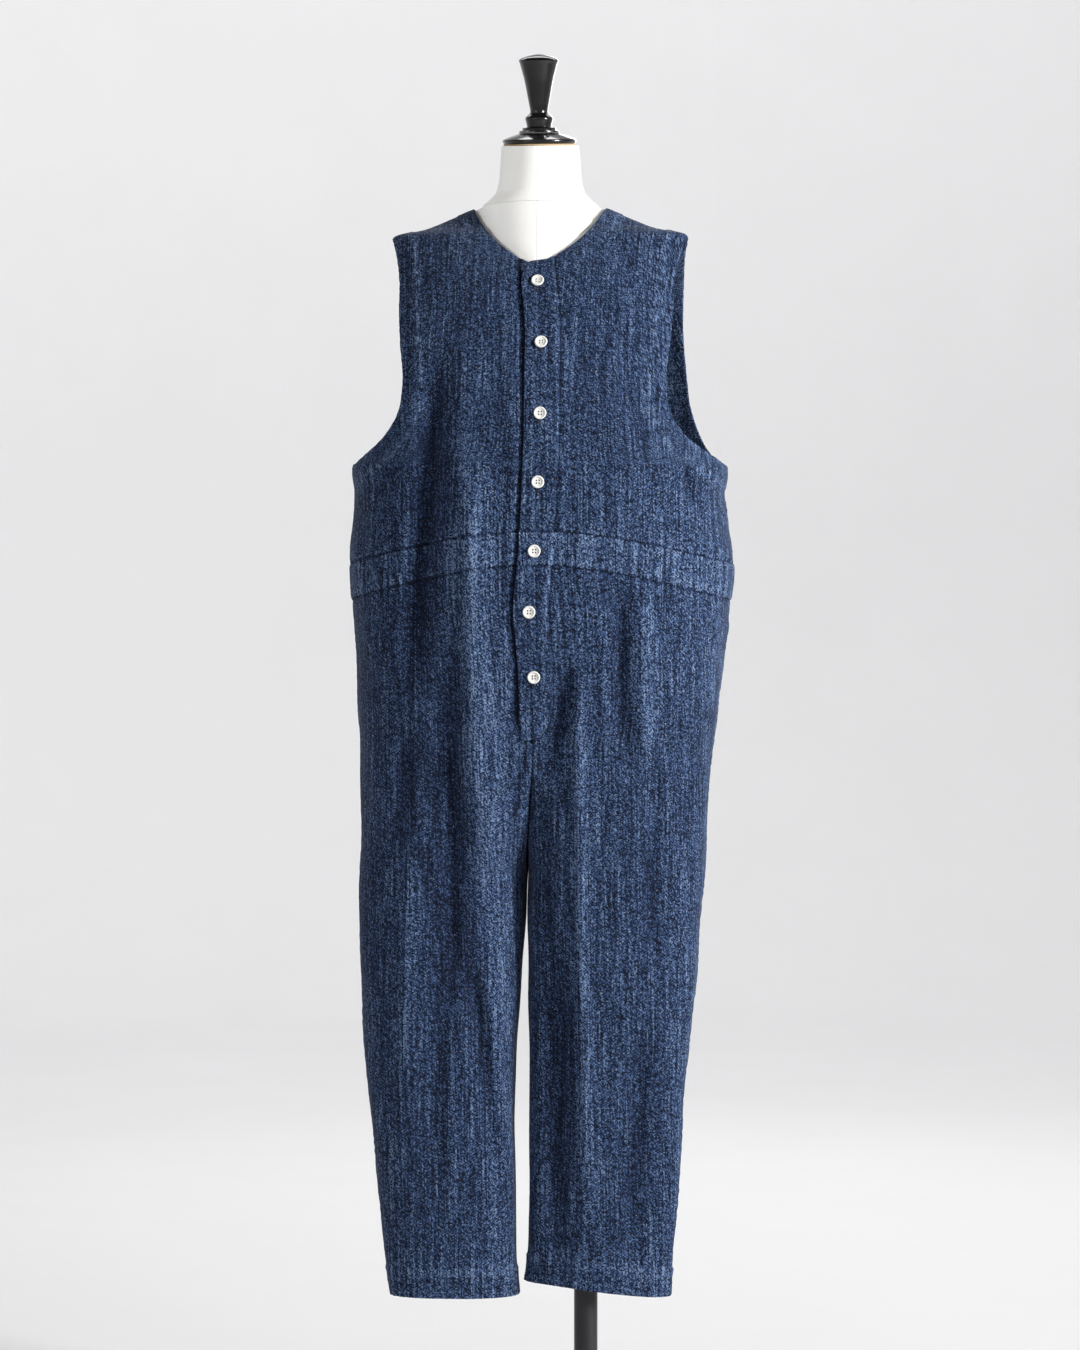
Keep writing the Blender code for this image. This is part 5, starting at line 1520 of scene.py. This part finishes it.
def rounded(piece, width, segments=3):
    shaped_by(piece, "BEVEL", width=width, segments=segments, limit_method="ANGLE",
              angle_limit=BODY_ANGLE)
    bpy.ops.object.shade_smooth_by_angle(angle=TURNED_ANGLE)
    return piece


def make_form():
    """The form and its cap; gives back the pieces that the form's own lamp lights."""
    cover = form_cover()
    body, neck = (np.concatenate([np.linspace(*span) for span in spans])
                  for spans in (FORM_HEIGHTS, NECK_HEIGHTS))
    torso = dress(ring_body("form_torso_cover", form_grid(body)), cover, "form_cover", "form_torso")
    throat = dress(ring_body("form_neck_cover", form_grid(neck, True)), cover, "form_cover",
                   "form_neck")

    top_y = (NECK[-1].front + NECK[-1].back) / 2
    seat = Matrix.Translation((FORM_X, top_y, NECK_TOP + top_y * math.tan(NECK_TILT) + 0.0004))
    seat @= Matrix.Rotation(NECK_TILT, 4, "X")
    gloss = black_gloss()
    cap = turned("neck_cap_turned", CAP)
    handle = turned("finial_turned", FINIAL)
    rim = turned("cap_edge", CAP_EDGE)
    for piece in (cap, handle, rim):
        piece.data.transform(seat)
    dress(cap, gloss, "black_gloss", "neck_cap")
    dress(handle, gloss, "black_gloss", "finial")
    dress(rim, bare_wood(), "black_gloss")
    return torso, throat


def make_stand():
    metal = stand_metal()
    bottom = FORM[0].z - PART_GAP
    plate = rounded(turned("pole_flange_plate", [
        Turn(bottom - SLEEVE_LENGTH, SLEEVE_RADIUS), Turn(bottom - FLANGE_THICKNESS, SLEEVE_RADIUS),
        Turn(bottom - FLANGE_THICKNESS + STEP, FLANGE_RADIUS), Turn(bottom, FLANGE_RADIUS)]), 0.0012)
    foot = rounded(turned("stand_base_plate", [
        Turn(0.0, BASE_RADIUS), Turn(BASE_THICKNESS, BASE_RADIUS),
        Turn(BASE_THICKNESS + STEP, BOSS_RADIUS), Turn(BOSS_HEIGHT, BOSS_RADIUS)], 160), 0.0022, 4)
    low, high = BOSS_HEIGHT + PART_GAP, bottom - SLEEVE_LENGTH - PART_GAP
    tube = turned("pole_tube", [Turn(low, POLE_RADIUS), Turn(high, POLE_RADIUS)], 64)
    tube = rounded(tube, 0.0006)
    dress(plate, metal, "stand_metal", "pole_flange")
    dress(foot, metal, "stand_metal", "stand_base")
    dress(tube, metal, "stand_metal", "pole")


# Stage, lights and camera


STUDIO_RADIUS = 6.6
STUDIO_HEIGHT = 6.0                 # of the wall over its bend
STUDIO_BEND = 1.4


def make_stage():
    """A round studio: a floor that curves up into a wall on all sides."""
    studio = new_piece("backdrop", bpy.ops.mesh.primitive_grid_add, x_subdivisions=72,
                       y_subdivisions=40, size=1)
    flat = STUDIO_RADIUS - STUDIO_BEND
    arc = STUDIO_BEND * math.pi / 2
    for vertex in studio.data.vertices:
        angle = (vertex.co.x + 0.5) * 2 * math.pi
        run = (vertex.co.y + 0.5) * (flat + arc + STUDIO_HEIGHT)
        if run < flat:
            away, z = run, 0.0
        elif run < flat + arc:
            turn = (run - flat) / STUDIO_BEND
            away = flat + STUDIO_BEND * math.sin(turn)
            z = STUDIO_BEND * (1 - math.cos(turn))
        else:
            away, z = STUDIO_RADIUS, STUDIO_BEND + run - flat - arc
        vertex.co = (away * math.sin(angle), away * math.cos(angle), z)
    studio.data.shade_smooth()
    studio.data.materials.append(studio_paper())


Lamp = namedtuple("Lamp", "name place aim size power spread colour", defaults=((1.0, 1.0, 1.0),))
KEY_TINT = (1.0, 0.99, 0.975)
FILL_TINT = (0.92, 0.96, 1.0)
LAMPS = [
    Lamp("key", (4.1, -2.3, 2.35), (FORM_X, 0, 1.50), (1.1, 1.5), 116.0, 105, KEY_TINT),
    Lamp("fill", (-3.0, -4.2, 1.9), (FORM_X, 0, 1.4), (2.0, 2.0), 5.5, 90, FILL_TINT),
    Lamp("wash", (0.0, 3.0, 5.2), (0.0, 5.2, 0.0), (6.0, 2.0), 182.0, 180),
    Lamp("front_wash", (0.0, -4.9, 5.2), (0.0, -6.2, 0.6), (6.0, 1.2), 20.0, 180),
    Lamp("back_fill", (0.6, 4.6, 2.6), (FORM_X, 0, 1.0), (1.6, 1.6), 14.0, 90),
]
FORM_LAMP = Lamp("form_lamp", (-2.6, -2.9, 1.75), (FORM_X, 0, 1.50), (0.8, 0.8), 24.0, 110)
WORLD_LIGHT = 0.02


def make_lamp(lamp):
    data = bpy.data.lights.new(lamp.name, "AREA")
    data.shape = "RECTANGLE"
    data.size, data.size_y = lamp.size
    data.energy = lamp.power
    data.color = lamp.colour
    data.spread = math.radians(lamp.spread)
    item = bpy.data.objects.new(lamp.name, data)
    bpy.context.scene.collection.objects.link(item)
    item.location = lamp.place
    item.rotation_euler = (Vector(lamp.aim) - Vector(lamp.place)).to_track_quat("-Z", "Y").to_euler()
    return item


def light_form(pieces):
    """A soft lamp on the pale cover alone, which stays even beside the dark cloth."""
    lit = bpy.data.collections.new("form_lamp_lights")
    for piece in pieces:
        lit.objects.link(piece)
    make_lamp(FORM_LAMP).light_linking.receiver_collection = lit


def make_lights():
    world = bpy.data.worlds.new("studio")
    bpy.context.scene.world = world
    world.use_nodes = True
    world.node_tree.nodes["Background"].inputs["Color"].default_value = (0.95, 0.97, 1.0, 1.0)
    world.node_tree.nodes["Background"].inputs["Strength"].default_value = WORLD_LIGHT
    for lamp in LAMPS:
        make_lamp(lamp)


def make_camera():
    data = bpy.data.cameras.new("view")
    data.lens = 100
    data.sensor_width = 36
    camera = bpy.data.objects.new("view", data)
    bpy.context.scene.collection.objects.link(camera)
    aim = Vector((FORM_X, 0, CAMERA_HEIGHT))
    back = Vector((math.sin(CAMERA_AZIMUTH), -math.cos(CAMERA_AZIMUTH), 0))
    camera.location = aim + back * CAMERA_DISTANCE
    camera.rotation_euler = (-back).to_track_quat("-Z", "Y").to_euler()
    bpy.context.scene.camera = camera


def main():
    bpy.context.scene.view_settings.view_transform = "Standard"
    make_camera()
    make_lights()
    make_stage()
    make_garment()
    light_form(make_form())
    make_stand()


main()
